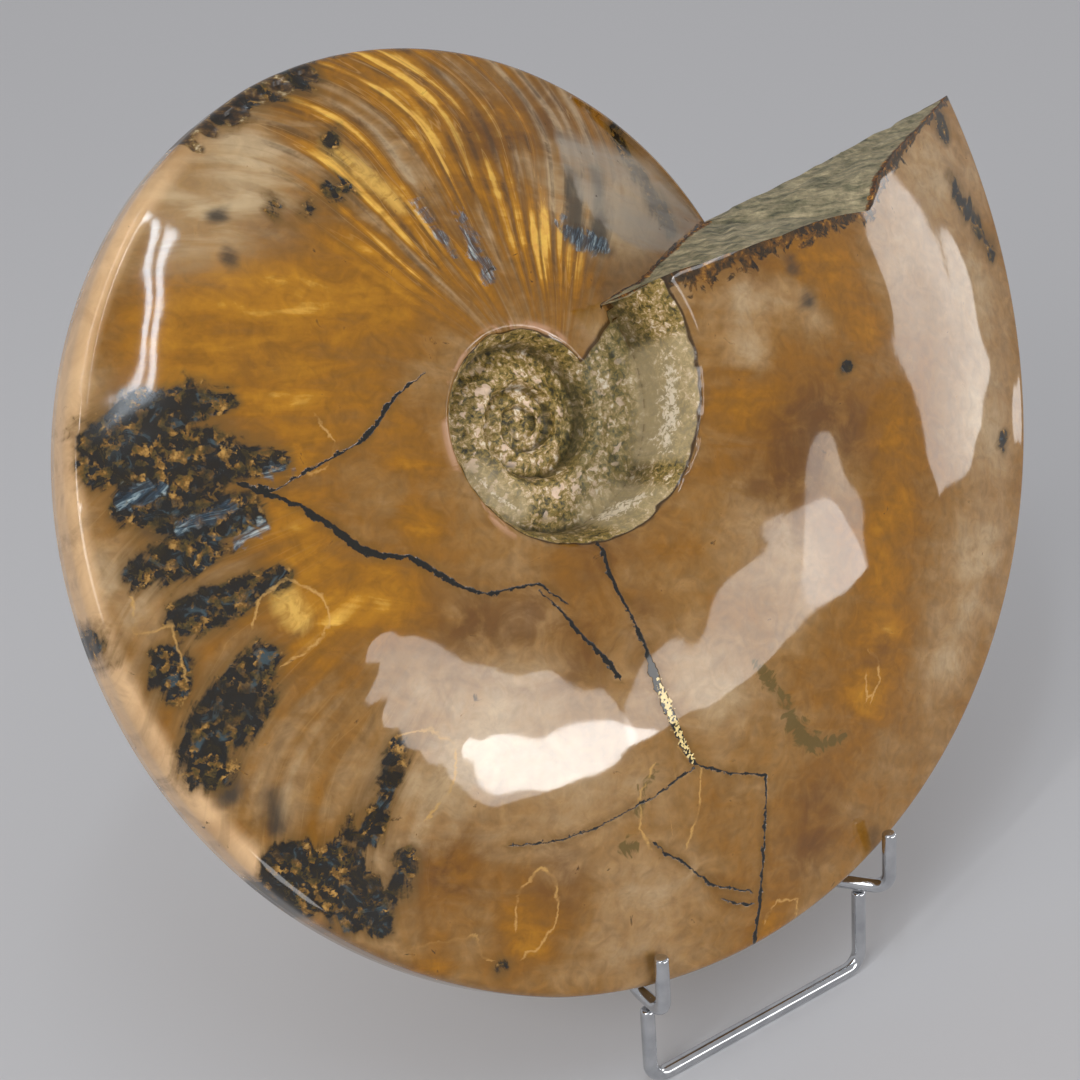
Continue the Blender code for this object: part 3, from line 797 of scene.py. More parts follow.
# Soft dark clouds lie deeper in the stone, so their edges are blurred.
cloud_edge = node(tree, "Math", {0: feathers, 1: 4.5, 2: cloud}, operation="MULTIPLY_ADD")
cloud_share = node(tree, "MapRange", {"Value": cloud_edge, "From Min": 0.2, "From Max": 4.0, "To Max": 0.85},
                   interpolation_type="SMOOTHSTEP")
base = node(tree, "Mix", {0: cloud_share, 6: base, 7: colour("#2b2a26")}, out=2, data_type="RGBA")

# Stains: each edge is broken up by feathers, and inside them are moss, rust and gold.
torn = node(tree, "Math", {0: feathers, 1: 8.0, 2: -6.2}, operation="MULTIPLY_ADD")
torn = node(tree, "Math", {0: small, 1: 1.8, 2: torn}, operation="MULTIPLY_ADD")
torn = node(tree, "Math", {0: blotchy, 1: 3.6, 2: torn}, operation="MULTIPLY_ADD")
stain_edge = node(tree, "Math", {0: stain, 1: torn}, operation="ADD")
flecked = node(tree, "VectorMath", {0: grown, 1: (1 / 1.7, 11.0, 0)}, operation="MULTIPLY")
flecks = node(tree, "TexNoise", {"Vector": flecked, "Scale": 1, "Detail": 4, "Roughness": 0.74,
                                 "Distortion": 1.4})
ink = node(tree, "ValToRGB", {"Fac": blotchy}, stops=(
    (0.32, "#33454c"), (0.70, "#30280f"), (0.42, "#15191a"), (0.55, "#0e0d0a")))
moss = node(tree, "ValToRGB", {"Fac": small}, stops=(
    (0.36, "#2e2710"), (0.66, "#c0924a"), (0.46, "#55441a"), (0.55, "#7c561c")))
moss_share = node(tree, "MapRange", {"Value": speckle, "From Min": 0.49, "From Max": 0.57, "To Max": 0.85},
                  interpolation_type="SMOOTHSTEP")
moss_patch = node(tree, "MapRange", {"Value": middle, "From Min": 0.40, "From Max": 0.56, "To Min": 0.2},
                  interpolation_type="SMOOTHSTEP")
moss_share = node(tree, "Math", {0: moss_share, 1: moss_patch}, operation="MULTIPLY")
ink = node(tree, "Mix", {0: moss_share, 6: ink, 7: moss}, out=2, data_type="RGBA")
halo = node(tree, "MapRange", {"Value": stain_edge, "From Min": -2.6, "From Max": 0.2, "To Max": 0.7},
            interpolation_type="SMOOTHSTEP")
base = node(tree, "Mix", {0: halo, 6: base, 7: colour("#5d4318")}, out=2, data_type="RGBA")
ink_share = node(tree, "MapRange", {"Value": stain_edge, "From Min": -0.5, "From Max": 0.6, "To Max": 0.96},
                 interpolation_type="SMOOTHSTEP")
base = node(tree, "Mix", {0: ink_share, 6: base, 7: ink}, out=2, data_type="RGBA")
olive_edge = node(tree, "Math", {0: blotchy, 1: 7.0, 2: olive}, operation="MULTIPLY_ADD")
olive_share = node(tree, "MapRange", {"Value": olive_edge, "From Min": 3.3, "From Max": 4.3, "To Max": 0.8},
                   interpolation_type="SMOOTHSTEP")
base = node(tree, "Mix", {0: olive_share, 6: base, 7: colour("#54461a")}, out=2, data_type="RGBA")

# Blue flashes are broken up in the same blotches as the stains.
flash_edge = node(tree, "Math", {0: blotchy, 1: 7.0, 2: flash}, operation="MULTIPLY_ADD")
flash_share = node(tree, "MapRange", {"Value": flash_edge, "From Min": 3.2, "From Max": 4.6, "To Max": 0.7},
                   interpolation_type="SMOOTHSTEP")
blues = node(tree, "ValToRGB", {"Fac": flecks}, stops=(
    (0.38, "#17222b"), (0.66, "#c3cdc8"), (0.50, "#33495a"), (0.58, "#7e939b")))
base = node(tree, "Mix", {0: flash_share, 6: base, 7: blues}, out=2, data_type="RGBA")

# Veins: a quarter of a millimetre of pale gold, uneven, broken in places.
wobble = node(tree, "Math", {0: middle, 1: 3.4, 2: -1.7}, operation="MULTIPLY_ADD")
wobble = node(tree, "Math", {0: small, 1: 1.1, 2: wobble}, operation="MULTIPLY_ADD")
vein_gap = node(tree, "Math", {0: fields["vein"][0], 1: wobble}, operation="ADD")
vein_gap = node(tree, "Math", {0: vein_gap, 1: 0.55}, operation="SUBTRACT")
vein_gap = node(tree, "Math", {0: vein_gap}, operation="ABSOLUTE")
vein_half = node(tree, "Math", {0: fields["vein"][1], 1: 0.5, 2: -0.06}, operation="MULTIPLY_ADD")
vein_spare = node(tree, "Math", {0: vein_half, 1: vein_gap}, operation="SUBTRACT")
vein_share = node(tree, "MapRange", {"Value": vein_spare, "From Min": -0.22, "From Max": 0.12,
                                     "To Max": 0.65},
                  interpolation_type="SMOOTHSTEP")
broken_up = node(tree, "MapRange", {"Value": wisps, "From Min": 0.40, "From Max": 0.52, "To Min": 0.15,
                                    "To Max": 1.0}, interpolation_type="SMOOTHSTEP")
vein_share = node(tree, "Math", {0: vein_share, 1: broken_up}, operation="MULTIPLY")
base = node(tree, "Mix", {0: vein_share, 6: base, 7: colour("#c79a55")}, out=2, data_type="RGBA")

# The ground facet is a duller, greyer cut through the flank, painted paler grey as a painted reflection in
# its flat polish.
facet_reflection_share = node(tree, "MapRange", {"Value": wisps, "From Min": 0.35, "From Max": 0.65, "To Min": 0.75,
                                      "To Max": 0.35})
facet_reflection_share = node(tree, "Math", {0: facet_reflection_share, 1: facet}, operation="MULTIPLY")
base = node(tree, "Mix", {0: facet_reflection_share, 6: base, 7: colour("#94897a")}, out=2, data_type="RGBA")
# Chipped rim: bare layers of the shell, in near black, dark brown and a little cream.
layer_tone = node(tree, "Math", {0: threads, 1: 0.4}, operation="MULTIPLY")
layer_tone = node(tree, "Math", {0: speckle, 1: 0.6, 2: layer_tone}, operation="MULTIPLY_ADD")
bare = node(tree, "ValToRGB", {"Fac": layer_tone}, stops=(
    (0.34, "#0e0c0a"), (0.66, "#d2c09c"), (0.44, "#241a10"), (0.52, "#4a3214"), (0.59, "#7d6234")))
chip_share = node(tree, "MapRange", {"Value": chip, "From Min": 0.15, "From Max": 0.5, "To Max": 0.95},
                  interpolation_type="SMOOTHSTEP")
base = node(tree, "Mix", {0: chip_share, 6: base, 7: bare}, out=2, data_type="RGBA")
mouth_side = node(tree, "Attribute", {}, out="Fac", attribute_name="mouth_edge")
mouth_side = node(tree, "Math", {0: blotchy, 1: 2.0, 2: mouth_side}, operation="MULTIPLY_ADD")
mouth_share = node(tree, "MapRange", {"Value": mouth_side, "From Min": 1.35, "From Max": 1.55,
                                      "To Max": 0.92},
                   interpolation_type="SMOOTHSTEP")
rust = node(tree, "ValToRGB", {"Fac": speckle}, stops=(
    (0.36, "#16120b"), (0.72, "#a87526"), (0.48, "#2e2210"), (0.58, "#5f3c11")))
base = node(tree, "Mix", {0: mouth_share, 6: base, 7: rust}, out=2, data_type="RGBA")
lip_patch = node(tree, "MapRange", {"Value": middle, "From Min": 0.44, "From Max": 0.58, "To Max": 0.8},
                 interpolation_type="SMOOTHSTEP")
lip_share = node(tree, "Math", {0: lip, 1: lip_patch}, operation="MULTIPLY")
base = node(tree, "Mix", {0: lip_share, 6: base, 7: colour("#b98f70")}, out=2, data_type="RGBA")

# Cracks wander by a third of a millimetre, change width along the way, and are stained amber beside.
crack = beside_crack = None
for side, width in zip(fields["crack_side"], fields["crack_width"]):
    shift = node(tree, "Math", {0: small, 1: 1.5, 2: -0.75}, operation="MULTIPLY_ADD")
    gap = node(tree, "Math", {0: side, 1: shift}, operation="ADD")
    gap = node(tree, "Math", {0: gap}, operation="ABSOLUTE")
    uneven = node(tree, "Math", {0: blotchy, 1: 1.1, 2: -0.97}, operation="MULTIPLY_ADD")
    uneven = node(tree, "Math", {0: small, 1: 0.8, 2: uneven}, operation="MULTIPLY_ADD")
    half = node(tree, "Math", {0: width, 1: uneven}, operation="ADD")
    thinnest = node(tree, "Math", {0: width, 1: 0.08}, operation="MINIMUM")
    half = node(tree, "Math", {0: half, 1: thinnest}, operation="MAXIMUM")
    spare = node(tree, "Math", {0: half, 1: gap}, operation="SUBTRACT")
    this = node(tree, "MapRange", {"Value": spare, "From Min": -0.10, "From Max": 0.08},
                interpolation_type="SMOOTHSTEP")
    crack = this if crack is None else node(tree, "Math", {0: crack, 1: this}, operation="MAXIMUM")
    near = node(tree, "MapRange", {"Value": spare, "From Min": -1.5, "From Max": -0.1, "To Max": 0.55},
                interpolation_type="SMOOTHSTEP")
    beside_crack = near if beside_crack is None else node(
        tree, "Math", {0: beside_crack, 1: near}, operation="MAXIMUM")
beside_crack = node(tree, "Math", {0: beside_crack, 1: deep_part}, operation="MULTIPLY")
base = node(tree, "Mix", {0: beside_crack, 6: base, 7: colour("#63440f")}, out=2, data_type="RGBA")
base = node(tree, "Mix", {0: crack, 6: base, 7: colour("#17150f")}, out=2, data_type="RGBA")
gold_edge = node(tree, "Math", {0: fine, 1: 2.6, 2: fields["vein"][2]}, operation="MULTIPLY_ADD")
gold_share = node(tree, "MapRange", {"Value": gold_edge, "From Min": 1.8, "From Max": 2.1},
                  interpolation_type="SMOOTHSTEP")
base = node(tree, "Mix", {0: gold_share, 6: base, 7: colour("#e3c98a")}, out=2, data_type="RGBA")

# The umbilicus was left rough: millimetre grains in olive, cream and brown, and pink 3 mm nodules.
grit = node(tree, "TexNoise", {"Vector": place, "Scale": 1 / 0.9, "Detail": 3, "Roughness": 0.7,
                               "Distortion": 0.6})
lumps = node(tree, "TexNoise", {"Vector": place, "Scale": 1 / 3.5, "Detail": 2})
grit_tone = node(tree, "Math", {0: lumps, 1: 0.55, 2: -0.72}, operation="MULTIPLY_ADD")
grit_tone = node(tree, "Math", {0: grit, 1: 1.5, 2: grit_tone}, operation="MULTIPLY_ADD")
grit_tone = node(tree, "Math", {0: speckle, 1: 0.4, 2: grit_tone}, operation="MULTIPLY_ADD")
matrix = node(tree, "ValToRGB", {"Fac": grit_tone}, stops=(
    (0.16, "#241f10"), (0.84, "#efe2ca"), (0.33, "#5a4e26"), (0.46, "#86702f"), (0.56, "#9c8248"),
    (0.68, "#c2a680")))
# Each coil is paler and pinker along its middle, with painted shade down in the seam beside it and on the
# umbilicus's mouth side.
coil = node(tree, "Attribute", {}, out="Vector", attribute_name="coils")
crest, groove, shaded_side = (node(tree, "SeparateXYZ", {0: coil}, out=part) for part in range(3))
patches = node(tree, "TexNoise", {"Vector": place, "Scale": 1 / 2.4, "Detail": 4, "Roughness": 0.62,
                                  "Distortion": 0.9})
shaken = node(tree, "TexNoise", {"Vector": place, "Scale": 1 / 1.6, "Detail": 2}, out=1)
shaken = node(tree, "VectorMath", {0: shaken, 1: (4.5, 4.5, 4.5), 2: place}, operation="MULTIPLY_ADD")
nodule = node(tree, "TexVoronoi", {"Vector": shaken, "Scale": 1 / 2.6, "Randomness": 1.0})
nodule = node(tree, "Math", {0: patches, 1: -0.9, 2: nodule}, operation="MULTIPLY_ADD")
specks = node(tree, "MapRange", {"Value": nodule, "From Min": -0.26, "From Max": -0.10, "To Min": 0.85,
                                 "To Max": 0.0},
              interpolation_type="SMOOTHSTEP")
specks = node(tree, "Math", {0: specks, 1: crest}, operation="MULTIPLY")
matrix = node(tree, "Mix", {0: specks, 6: matrix, 7: colour("#e6c9b0")}, out=2, data_type="RGBA")
# Painted shade: the mouth side of the umbilicus is darkened olive grey.
side_shade = node(tree, "Math", {0: shaded_side, 1: 0.40}, operation="MULTIPLY")
matrix = node(tree, "Mix", {0: side_shade, 6: matrix, 7: colour("#55543c")}, out=2, data_type="RGBA")
# Painted shade: the seams between the coils are darkened, with torn edges.
torn = node(tree, "Math", {0: patches, 1: 1.2, 2: -0.6}, operation="MULTIPLY_ADD")
seam = node(tree, "Math", {0: groove, 1: torn}, operation="ADD")
seam = node(tree, "MapRange", {"Value": seam, "From Min": 0.30, "From Max": 1.0, "To Max": 0.60},
            interpolation_type="SMOOTHSTEP")
matrix = node(tree, "Mix", {0: seam, 6: matrix, 7: colour("#38321e")}, out=2, data_type="RGBA")
pale_side = node(tree, "MapRange", {"Value": nacre, "From Min": -4.5, "From Max": 0.0, "To Max": 0.55},
                 interpolation_type="SMOOTHSTEP")
matrix = node(tree, "Mix", {0: pale_side, 6: matrix, 7: colour("#c2ae86")}, out=2, data_type="RGBA")
nacre_edge = node(tree, "Math", {0: grit, 1: 3.0, 2: nacre}, operation="MULTIPLY_ADD")
nacre_share = node(tree, "MapRange", {"Value": nacre_edge, "From Min": 1.75, "From Max": 2.2, "To Max": 0.85},
                   interpolation_type="SMOOTHSTEP")
matrix = node(tree, "Mix", {0: nacre_share, 6: matrix, 7: colour("#e6d8c0")}, out=2, data_type="RGBA")
grain_edge = node(tree, "MapRange", {"Value": grain, "From Min": 0.35, "From Max": 0.65},
                  interpolation_type="SMOOTHSTEP")
base = node(tree, "Mix", {0: grain_edge, 6: base, 7: matrix}, out=2, data_type="RGBA")
outline = node(tree, "Math", {0: grain, 1: 0.35}, operation="SUBTRACT")
outline = node(tree, "Math", {0: outline}, operation="ABSOLUTE")
outline = node(tree, "MapRange", {"Value": outline, "From Min": 0.08, "From Max": 0.3, "To Min": 0.85,
                                  "To Max": 0.0}, interpolation_type="SMOOTHSTEP")
base = node(tree, "Mix", {0: outline, 6: base, 7: colour("#33230f")}, out=2, data_type="RGBA")

tree.links.new(base, shader.inputs["Base Color"])
gloss = node(tree, "MapRange", {"Value": middle, "From Min": 0.3, "From Max": 0.7, "To Min": 0.035,
                                "To Max": 0.06})
gloss = node(tree, "Math", {0: ink_share, 1: 0.05, 2: gloss}, operation="MULTIPLY_ADD")
roughness = node(tree, "MapRange", {"Value": grain, "From Min": 0.3, "From Max": 0.7, "To Max": 0.5})
roughness = node(tree, "Math", {0: roughness, 1: gloss}, operation="ADD")
roughness = node(tree, "Math", {0: chip_share, 1: 0.25, 2: roughness}, operation="MULTIPLY_ADD")
tree.links.new(roughness, shader.inputs["Roughness"])
shader.inputs["IOR"].default_value = 1.53
pits = node(tree, "Math", {0: patches, 1: 1.6, 2: grit}, operation="MULTIPLY_ADD")
pits = node(tree, "Math", {0: pits, 1: grain}, operation="MULTIPLY")
pits = node(tree, "Math", {0: crack, 1: -1.0, 2: pits}, operation="MULTIPLY_ADD")
pits = node(tree, "Math", {0: small, 1: 0.035, 2: pits}, operation="MULTIPLY_ADD")
bump = node(tree, "Bump", {"Height": pits, "Strength": 0.35, "Distance": 0.0003})
tree.links.new(bump, shader.inputs["Normal"])

# The mouth: broken limestone, grey green, with bedding that runs across it and a rusty front edge.
broken, tree, shader = new_material("mouth_broken_limestone")
place = node(tree, "Attribute", {}, out="Vector", attribute_name="surface_place")
bedded = node(tree, "Mapping", {"Vector": place, "Rotation": (0, 0, math.radians(-62)),
                                "Scale": (1 / 14, 1 / 1.1, 1 / 3)})
beds = node(tree, "TexNoise", {"Vector": bedded, "Scale": 1, "Detail": 6, "Roughness": 0.6,
                               "Distortion": 0.5})
crumbs = node(tree, "TexNoise", {"Vector": place, "Scale": 1 / 1.2, "Detail": 5, "Roughness": 0.7})
tone = node(tree, "Math", {0: crumbs, 1: 0.5, 2: -0.25}, operation="MULTIPLY_ADD")
tone = node(tree, "Math", {0: beds, 1: tone}, operation="ADD")
base = node(tree, "ValToRGB", {"Fac": tone}, stops=(
    (0.30, "#4f4c38"), (0.72, "#c6b590"), (0.42, "#787255"), (0.50, "#8d8265"), (0.58, "#a09372")))
edge = node(tree, "Attribute", {}, out="Fac", attribute_name="mouth_edge")
torn = node(tree, "Math", {0: crumbs, 1: 1.6, 2: -0.8}, operation="MULTIPLY_ADD")
torn = node(tree, "Math", {0: edge, 1: torn}, operation="ADD")
rust = node(tree, "ValToRGB", {"Fac": crumbs}, stops=(
    (0.38, "#1d160c"), (0.66, "#c08a34"), (0.48, "#40270f"), (0.56, "#74430f")))
rust_share = node(tree, "MapRange", {"Value": torn, "From Min": 0.35, "From Max": 0.65},
                  interpolation_type="SMOOTHSTEP")
base = node(tree, "Mix", {0: rust_share, 6: base, 7: rust}, out=2, data_type="RGBA")
tree.links.new(base, shader.inputs["Base Color"])
shader.inputs["Roughness"].default_value = 0.62
height = node(tree, "Math", {0: crumbs, 1: 0.6, 2: beds}, operation="MULTIPLY_ADD")
bump = node(tree, "Bump", {"Height": height, "Strength": 0.6, "Distance": 0.0008})
tree.links.new(bump, shader.inputs["Normal"])

# The sawn back: one chamber after another along the spiral, filled with calcite between thin walls.
sawn, tree, shader = new_material("back_sawn_calcite_chambers")
place = node(tree, "Attribute", {}, out="Vector", attribute_name="surface_place")
chamber = node(tree, "Attribute", {}, out="Vector", attribute_name="chambers")
across, along, coil_gap = (node(tree, "SeparateXYZ", {0: chamber}, out=part) for part in range(3))
cloudy = node(tree, "TexNoise", {"Vector": place, "Scale": 1 / 5, "Detail": 4, "Roughness": 0.55})
fine = node(tree, "TexNoise", {"Vector": place, "Scale": 1 / 1.4, "Detail": 5, "Roughness": 0.65})
# 26 walls a turn, bowed towards the mouth in their middle, each about a thirteenth of a chamber thick.
turn = node(tree, "Math", {0: along, 1: across}, operation="ARCTAN2")
bow = node(tree, "Math", {0: 0.5, 1: coil_gap}, operation="SUBTRACT")
bow = node(tree, "Math", {0: bow, 1: bow}, operation="MULTIPLY")
bow = node(tree, "Math", {0: bow, 1: -20.0, 2: turn}, operation="MULTIPLY_ADD")
step = node(tree, "Math", {0: bow, 1: 1 / math.tau}, operation="MULTIPLY")
step = node(tree, "Math", {0: fine, 1: 0.09, 2: step}, operation="MULTIPLY_ADD")
step = node(tree, "Math", {0: step}, operation="FRACT")
step = node(tree, "Math", {0: step, 1: 0.5}, operation="SUBTRACT")
step = node(tree, "Math", {0: step}, operation="ABSOLUTE")
# Each chamber is cream in its middle and amber beside its walls, where the first crystals grew.
layered = node(tree, "Math", {0: step, 1: 0.7}, operation="MULTIPLY")
layered = node(tree, "Math", {0: coil_gap, 1: 0.35, 2: layered}, operation="MULTIPLY_ADD")
layered = node(tree, "Math", {0: cloudy, 1: 0.9, 2: layered}, operation="MULTIPLY_ADD")
base = node(tree, "ValToRGB", {"Fac": layered}, stops=(
    (0.42, "#4f300f"), (1.0, "#e2cda4"), (0.56, "#7d4f17"), (0.68, "#a27535"), (0.82, "#c4a472")))
wall = node(tree, "MapRange", {"Value": step, "From Min": 0.02, "From Max": 0.055, "To Min": 0.9,
                               "To Max": 0.0},
            interpolation_type="SMOOTHSTEP")
coil_gap = node(tree, "Math", {0: fine, 1: 0.02, 2: coil_gap}, operation="MULTIPLY_ADD")
shell_wall = node(tree, "MapRange", {"Value": coil_gap, "From Min": 0.026, "From Max": 0.038, "To Min": 0.9,
                                     "To Max": 0.0}, interpolation_type="SMOOTHSTEP")
wall = node(tree, "Math", {0: wall, 1: shell_wall}, operation="MAXIMUM")
base = node(tree, "Mix", {0: wall, 6: base, 7: colour("#33200c")}, out=2, data_type="RGBA")
tree.links.new(base, shader.inputs["Base Color"])
shader.inputs["Roughness"].default_value = 0.12
bump = node(tree, "Bump", {"Height": wall, "Strength": 0.15, "Distance": 0.0002})
tree.links.new(bump, shader.inputs["Normal"])
for made in (polished, broken, sawn):
    ammonite.data.materials.append(made)


# --- The stand's wires ---------------------------------------------------------------------------
# One gauge of mild steel wire, 2.5 mm, bent cold, spot welded and then chromed. Each CAD wire is
# replaced by a round, smoothly bent one with softened tips.

WIRE_RADIUS = 1.24           # millimetres, a hair inside the plain solid
TIP_ROUND = 0.45
RING_POINTS = 24
WIRES = {
    "stand_side_left": (3.0, ((-27.23, -50.24, 29.27), (-27.23, -50.24, 17.67), (-26.43, -41.49, 17.67),
                              (-26.43, 5.72, 103.55))),
    "stand_side_right": (3.0, ((22.77, -50.24, 30.29), (22.77, -50.24, 18.69), (16.37, -40.94, 18.69),
                               (16.37, 6.28, 104.57))),
    "stand_foot": (3.2, ((-27.33, -45.8, 16.12), (-27.33, -45.8, 1.25), (19.67, -45.8, 1.25),
                         (19.67, -45.8, 17.14))),
    "stand_cross_bar": (3.0, ((-29.43, 4.8, 96.07), (19.37, 4.8, 96.07))),
    "stand_rear_leg": (3.2, ((-19.10, 6.0, 93.55), (-28.83, 50.2, 1.25), (21.17, 50.2, 1.25),
                             (11.44, 6.0, 93.55))),
}


def bent_path(corners, bend, steps=14):
    """The wire's centre line: straight runs with each inner corner turned on an arc."""
    corners = [Vector(corner) for corner in corners]
    path = [corners[0]]
    for before, corner, after in zip(corners, corners[1:], corners[2:]):
        back, ahead = (before - corner).normalized(), (after - corner).normalized()
        half = back.angle(ahead) / 2
        centre = corner + (back + ahead).normalized() * bend / math.sin(half)
        start = corner + back * bend / math.tan(half) - centre
        axis = back.cross(ahead)
        sweep_angle = math.pi - 2 * half
        for step in range(steps + 1):
            path.append(centre + Matrix.Rotation(-sweep_angle * step / steps, 3, axis) @ start)
    return [*path, corners[-1]]


chrome, tree, shader = new_material("bright_chromed_steel_wire")
# Bright chrome shows its surroundings; drawing lines and faint haze keep it from being a perfect mirror.
chrome_place = node(tree, "TexCoord", {}, out="Object")
haze = node(tree, "TexNoise", {"Vector": chrome_place, "Scale": 1 / 0.004, "Detail": 4, "Roughness": 0.6})
dulled = node(tree, "MapRange", {"Value": haze, "From Min": 0.35, "From Max": 0.7, "To Min": 0.06,
                                 "To Max": 0.20})
tree.links.new(dulled, shader.inputs["Roughness"])
plating = node(tree, "ValToRGB", {"Fac": haze}, stops=((0.3, "#b4b6ba"), (0.7, "#d2d3d5")))
tree.links.new(plating, shader.inputs["Base Color"])
drawn = node(tree, "TexNoise", {"Vector": chrome_place, "Scale": 1 / 0.0007, "Detail": 3})
bump = node(tree, "Bump", {"Height": drawn, "Strength": 0.08, "Distance": 0.0001})
tree.links.new(bump, shader.inputs["Normal"])
shader.inputs["Metallic"].default_value = 1.0

for name, (bend, corners) in WIRES.items():
    path = bent_path(corners, bend)
    wire = bmesh.new()
    first = (path[1] - path[0]).normalized()
    facing = first.to_track_quat("Z", "X").to_matrix().to_4x4()
    at_start = Matrix.Translation(path[0]) @ facing
    ring = bmesh.ops.create_circle(wire, segments=RING_POINTS, radius=WIRE_RADIUS, matrix=at_start)
    ends = list(dict.fromkeys(edge for vert in ring["verts"] for edge in vert.link_edges))
    bmesh.ops.edgeloop_fill(wire, edges=ends)
    heading = first
    for here, there in zip(path, path[1:]):
        way = (there - here).normalized()
        grown_geometry = bmesh.ops.extrude_edge_only(wire, edges=ends)["geom"]
        fresh = [item for item in grown_geometry if isinstance(item, bmesh.types.BMVert)]
        bmesh.ops.translate(wire, vec=there - here, verts=fresh)
        following = path[path.index(there) + 1] if there is not path[-1] else there + way
        ahead = ((following - there).normalized() + way).normalized()
        bmesh.ops.rotate(wire, cent=there, matrix=heading.rotation_difference(ahead).to_matrix(), verts=fresh)
        heading = ahead
        ends = [item for item in grown_geometry if isinstance(item, bmesh.types.BMEdge)]
    bmesh.ops.edgeloop_fill(wire, edges=ends)
    caps = [face for face in wire.faces if len(face.verts) > 4]
    rims = list(dict.fromkeys(edge for face in caps for edge in face.edges))
    bmesh.ops.bevel(wire, geom=rims, offset=TIP_ROUND, affect="EDGES", segments=4, profile=0.5, material=-1)
    bmesh.ops.recalc_face_normals(wire, faces=wire.faces)
    bmesh.ops.scale(wire, vec=(MM, MM, MM), verts=wire.verts)
    number_by_place(wire)
    wire_mesh = bpy.data.meshes.new(name + "_wire")
    wire.to_mesh(wire_mesh)
    wire.free()
    wire_mesh.shade_smooth()
    wire_mesh.materials.append(chrome)
    piece = bpy.data.objects.new(name + "_wire", wire_mesh)
    bpy.context.scene.collection.objects.link(piece)
    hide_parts(name)
    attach(piece, "root")


# --- Floor, light and camera ---------------------------------------------------------------------
# A matt pale card lies under the stand. Soft boxes, a strip and a pair of tubes are placed where the
# polish mirrors them, and an even pale surround fills the shadows.

FLOOR_SIZE = 4
SURROUND_STRENGTH = 0.72

floor_mesh = bmesh.new()
bmesh.ops.create_grid(floor_mesh, x_segments=2, y_segments=2, size=FLOOR_SIZE)
floor_data = bpy.data.meshes.new("floor")
floor_mesh.to_mesh(floor_data)
floor_mesh.free()
floor = bpy.data.objects.new("floor", floor_data)
bpy.context.scene.collection.objects.link(floor)
# Matt card has no gloss, so it shows soft shadows and mirrors nothing.
floor_finish, tree, shader = new_material("matt_pale_card")
shader.inputs["Base Color"].default_value = colour("#dadadc")
shader.inputs["Roughness"].default_value = 0.8
floor_data.materials.append(floor_finish)


def panel(name, middle, facing, across, high, brightness, along, tint=(1, 1, 1), shape="ELLIPSE"):
    """A soft light whose height lies along a direction: its brightness is what a mirror would show."""
    lamp = bpy.data.lights.new(name, "AREA")
    lamp.shape = shape
    lamp.size = across
    lamp.size_y = high
    lamp.energy = brightness * math.pi * across * high * (math.pi / 4 if shape == "ELLIPSE" else 1)
    lamp.color = tint
    made = bpy.data.objects.new(name, lamp)
    up = Vector(along).normalized()
    away = Vector(middle) - Vector(facing)
    away = (away - up * away.dot(up)).normalized()
    made.matrix_world = Matrix((up.cross(away), up, away)).transposed().to_4x4()
    made.matrix_world.translation = middle
    made.visible_camera = False
    bpy.context.scene.collection.objects.link(made)
    return made


def beside(azimuth, distance, rise, aside, up, tilt=0):
    """A place on a plane that faces the shell, and the direction tilt degrees from upright on it."""
    turn, climb = math.radians(azimuth), math.radians(rise)
    out = Vector((math.sin(turn) * math.cos(climb), -math.cos(turn) * math.cos(climb), math.sin(climb)))
    right = Vector((math.cos(turn), math.sin(turn), 0))
    upright = out.cross(right) * (1 if out.cross(right).z > 0 else -1)
    leaning = upright * math.cos(math.radians(tilt)) + right * math.sin(math.radians(tilt))
    return SHELL_MIDDLE + out * distance + right * aside + upright * up, leaning


SHELL_MIDDLE = Vector((-0.0191, -0.004, 0.080))
SOFTBOXES = (
    ("low_front_softbox", (33, 0.600, 0, 0.020, -0.078, 6), 0.430, 0.250, 3.9),
    ("right_arm_softbox", (33, 0.598, 0, 0.170, -0.040, -4), 0.138, 0.235, 2.9),
    ("left_arm_softbox", (33, 0.602, 0, -0.345, 0.070, -43), 0.210, 0.450, 4.3),
    ("low_front_lamp", (33, 0.590, 0, -0.235, -0.048, 20), 0.220, 0.070, 10.5),
    ("right_softbox", (75, 0.500, 20, 0.004, -0.195, 23), 0.130, 0.300, 3.0),
)
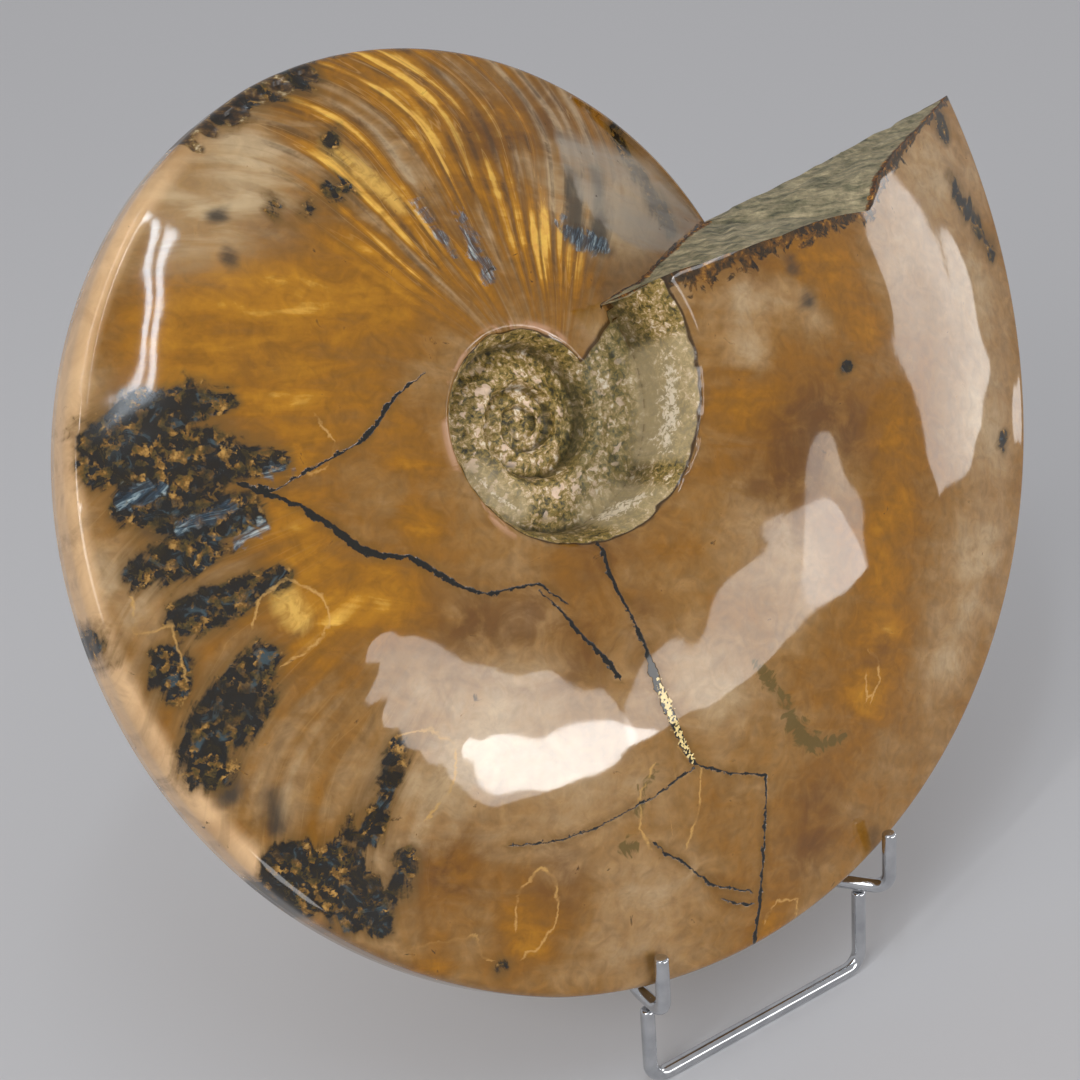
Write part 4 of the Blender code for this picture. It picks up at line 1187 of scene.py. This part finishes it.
# These softboxes reach down to the floor, so they are flagged off it: only the pieces take their light.
flagged = bpy.data.collections.new("lit_by_low_softboxes")
for piece in bpy.context.scene.objects:
    if piece.type == "MESH" and piece != floor:
        flagged.objects.link(piece)
for name, spot, across, high, brightness in SOFTBOXES:
    middle, leaning = beside(*spot)
    lamp = panel(name, middle, SHELL_MIDDLE, across, high, brightness, leaning)
    lamp.light_linking.receiver_collection = flagged
panel("key_softbox", (-0.62, -0.36, 0.52), SHELL_MIDDLE, 0.40, 0.40, 4.4, (0, 0, 1))
panel("rim_strip", (-0.590, -0.258, 0.682), SHELL_MIDDLE, 0.022, 0.615, 13.0, (0.416, 0.114, 0.438),
      shape="RECTANGLE")
TUBE_START, TUBE_END = Vector((-0.066, -0.101, 0.500)), Vector((-0.240, -0.264, 0.500))
for tube, aside in (("first_tube", -0.007), ("second_tube", 0.007)):
    along = TUBE_END - TUBE_START
    beside_it = Vector((along.y, -along.x, 0)).normalized() * aside
    panel(tube, (TUBE_START + TUBE_END) / 2 + beside_it, SHELL_MIDDLE, 0.008, along.length, 16.0, along,
          (0.80, 0.90, 1.0), "RECTANGLE")

world = bpy.data.worlds.new("studio")
bpy.context.scene.world = world
world.use_nodes = True
tree = world.node_tree
background = tree.nodes["Background"]
background.inputs["Color"].default_value = colour("#d8d8da")
background.inputs["Strength"].default_value = SURROUND_STRENGTH

# The camera stands in front, to the left and above, and looks down at the shell.
LENS, SENSOR_WIDTH = 83.33, 36
CAMERA_PLACE = (-0.22091, -0.3084, 0.27988)
CAMERA_AXES = ((0.8036, -0.5914, -0.066), (0.3275, 0.347, 0.8788), (-0.4969, -0.7279, 0.4726))
camera_data = bpy.data.cameras.new("camera")
camera_data.lens = LENS
camera_data.sensor_width = SENSOR_WIDTH
camera_data.clip_start = 0.01
camera = bpy.data.objects.new("camera", camera_data)
bpy.context.scene.collection.objects.link(camera)
turned_axes = Matrix(CAMERA_AXES).transposed().to_4x4()
camera.matrix_world = Matrix.Translation(CAMERA_PLACE) @ turned_axes
bpy.context.scene.camera = camera
bpy.context.scene.view_settings.view_transform = "Standard"
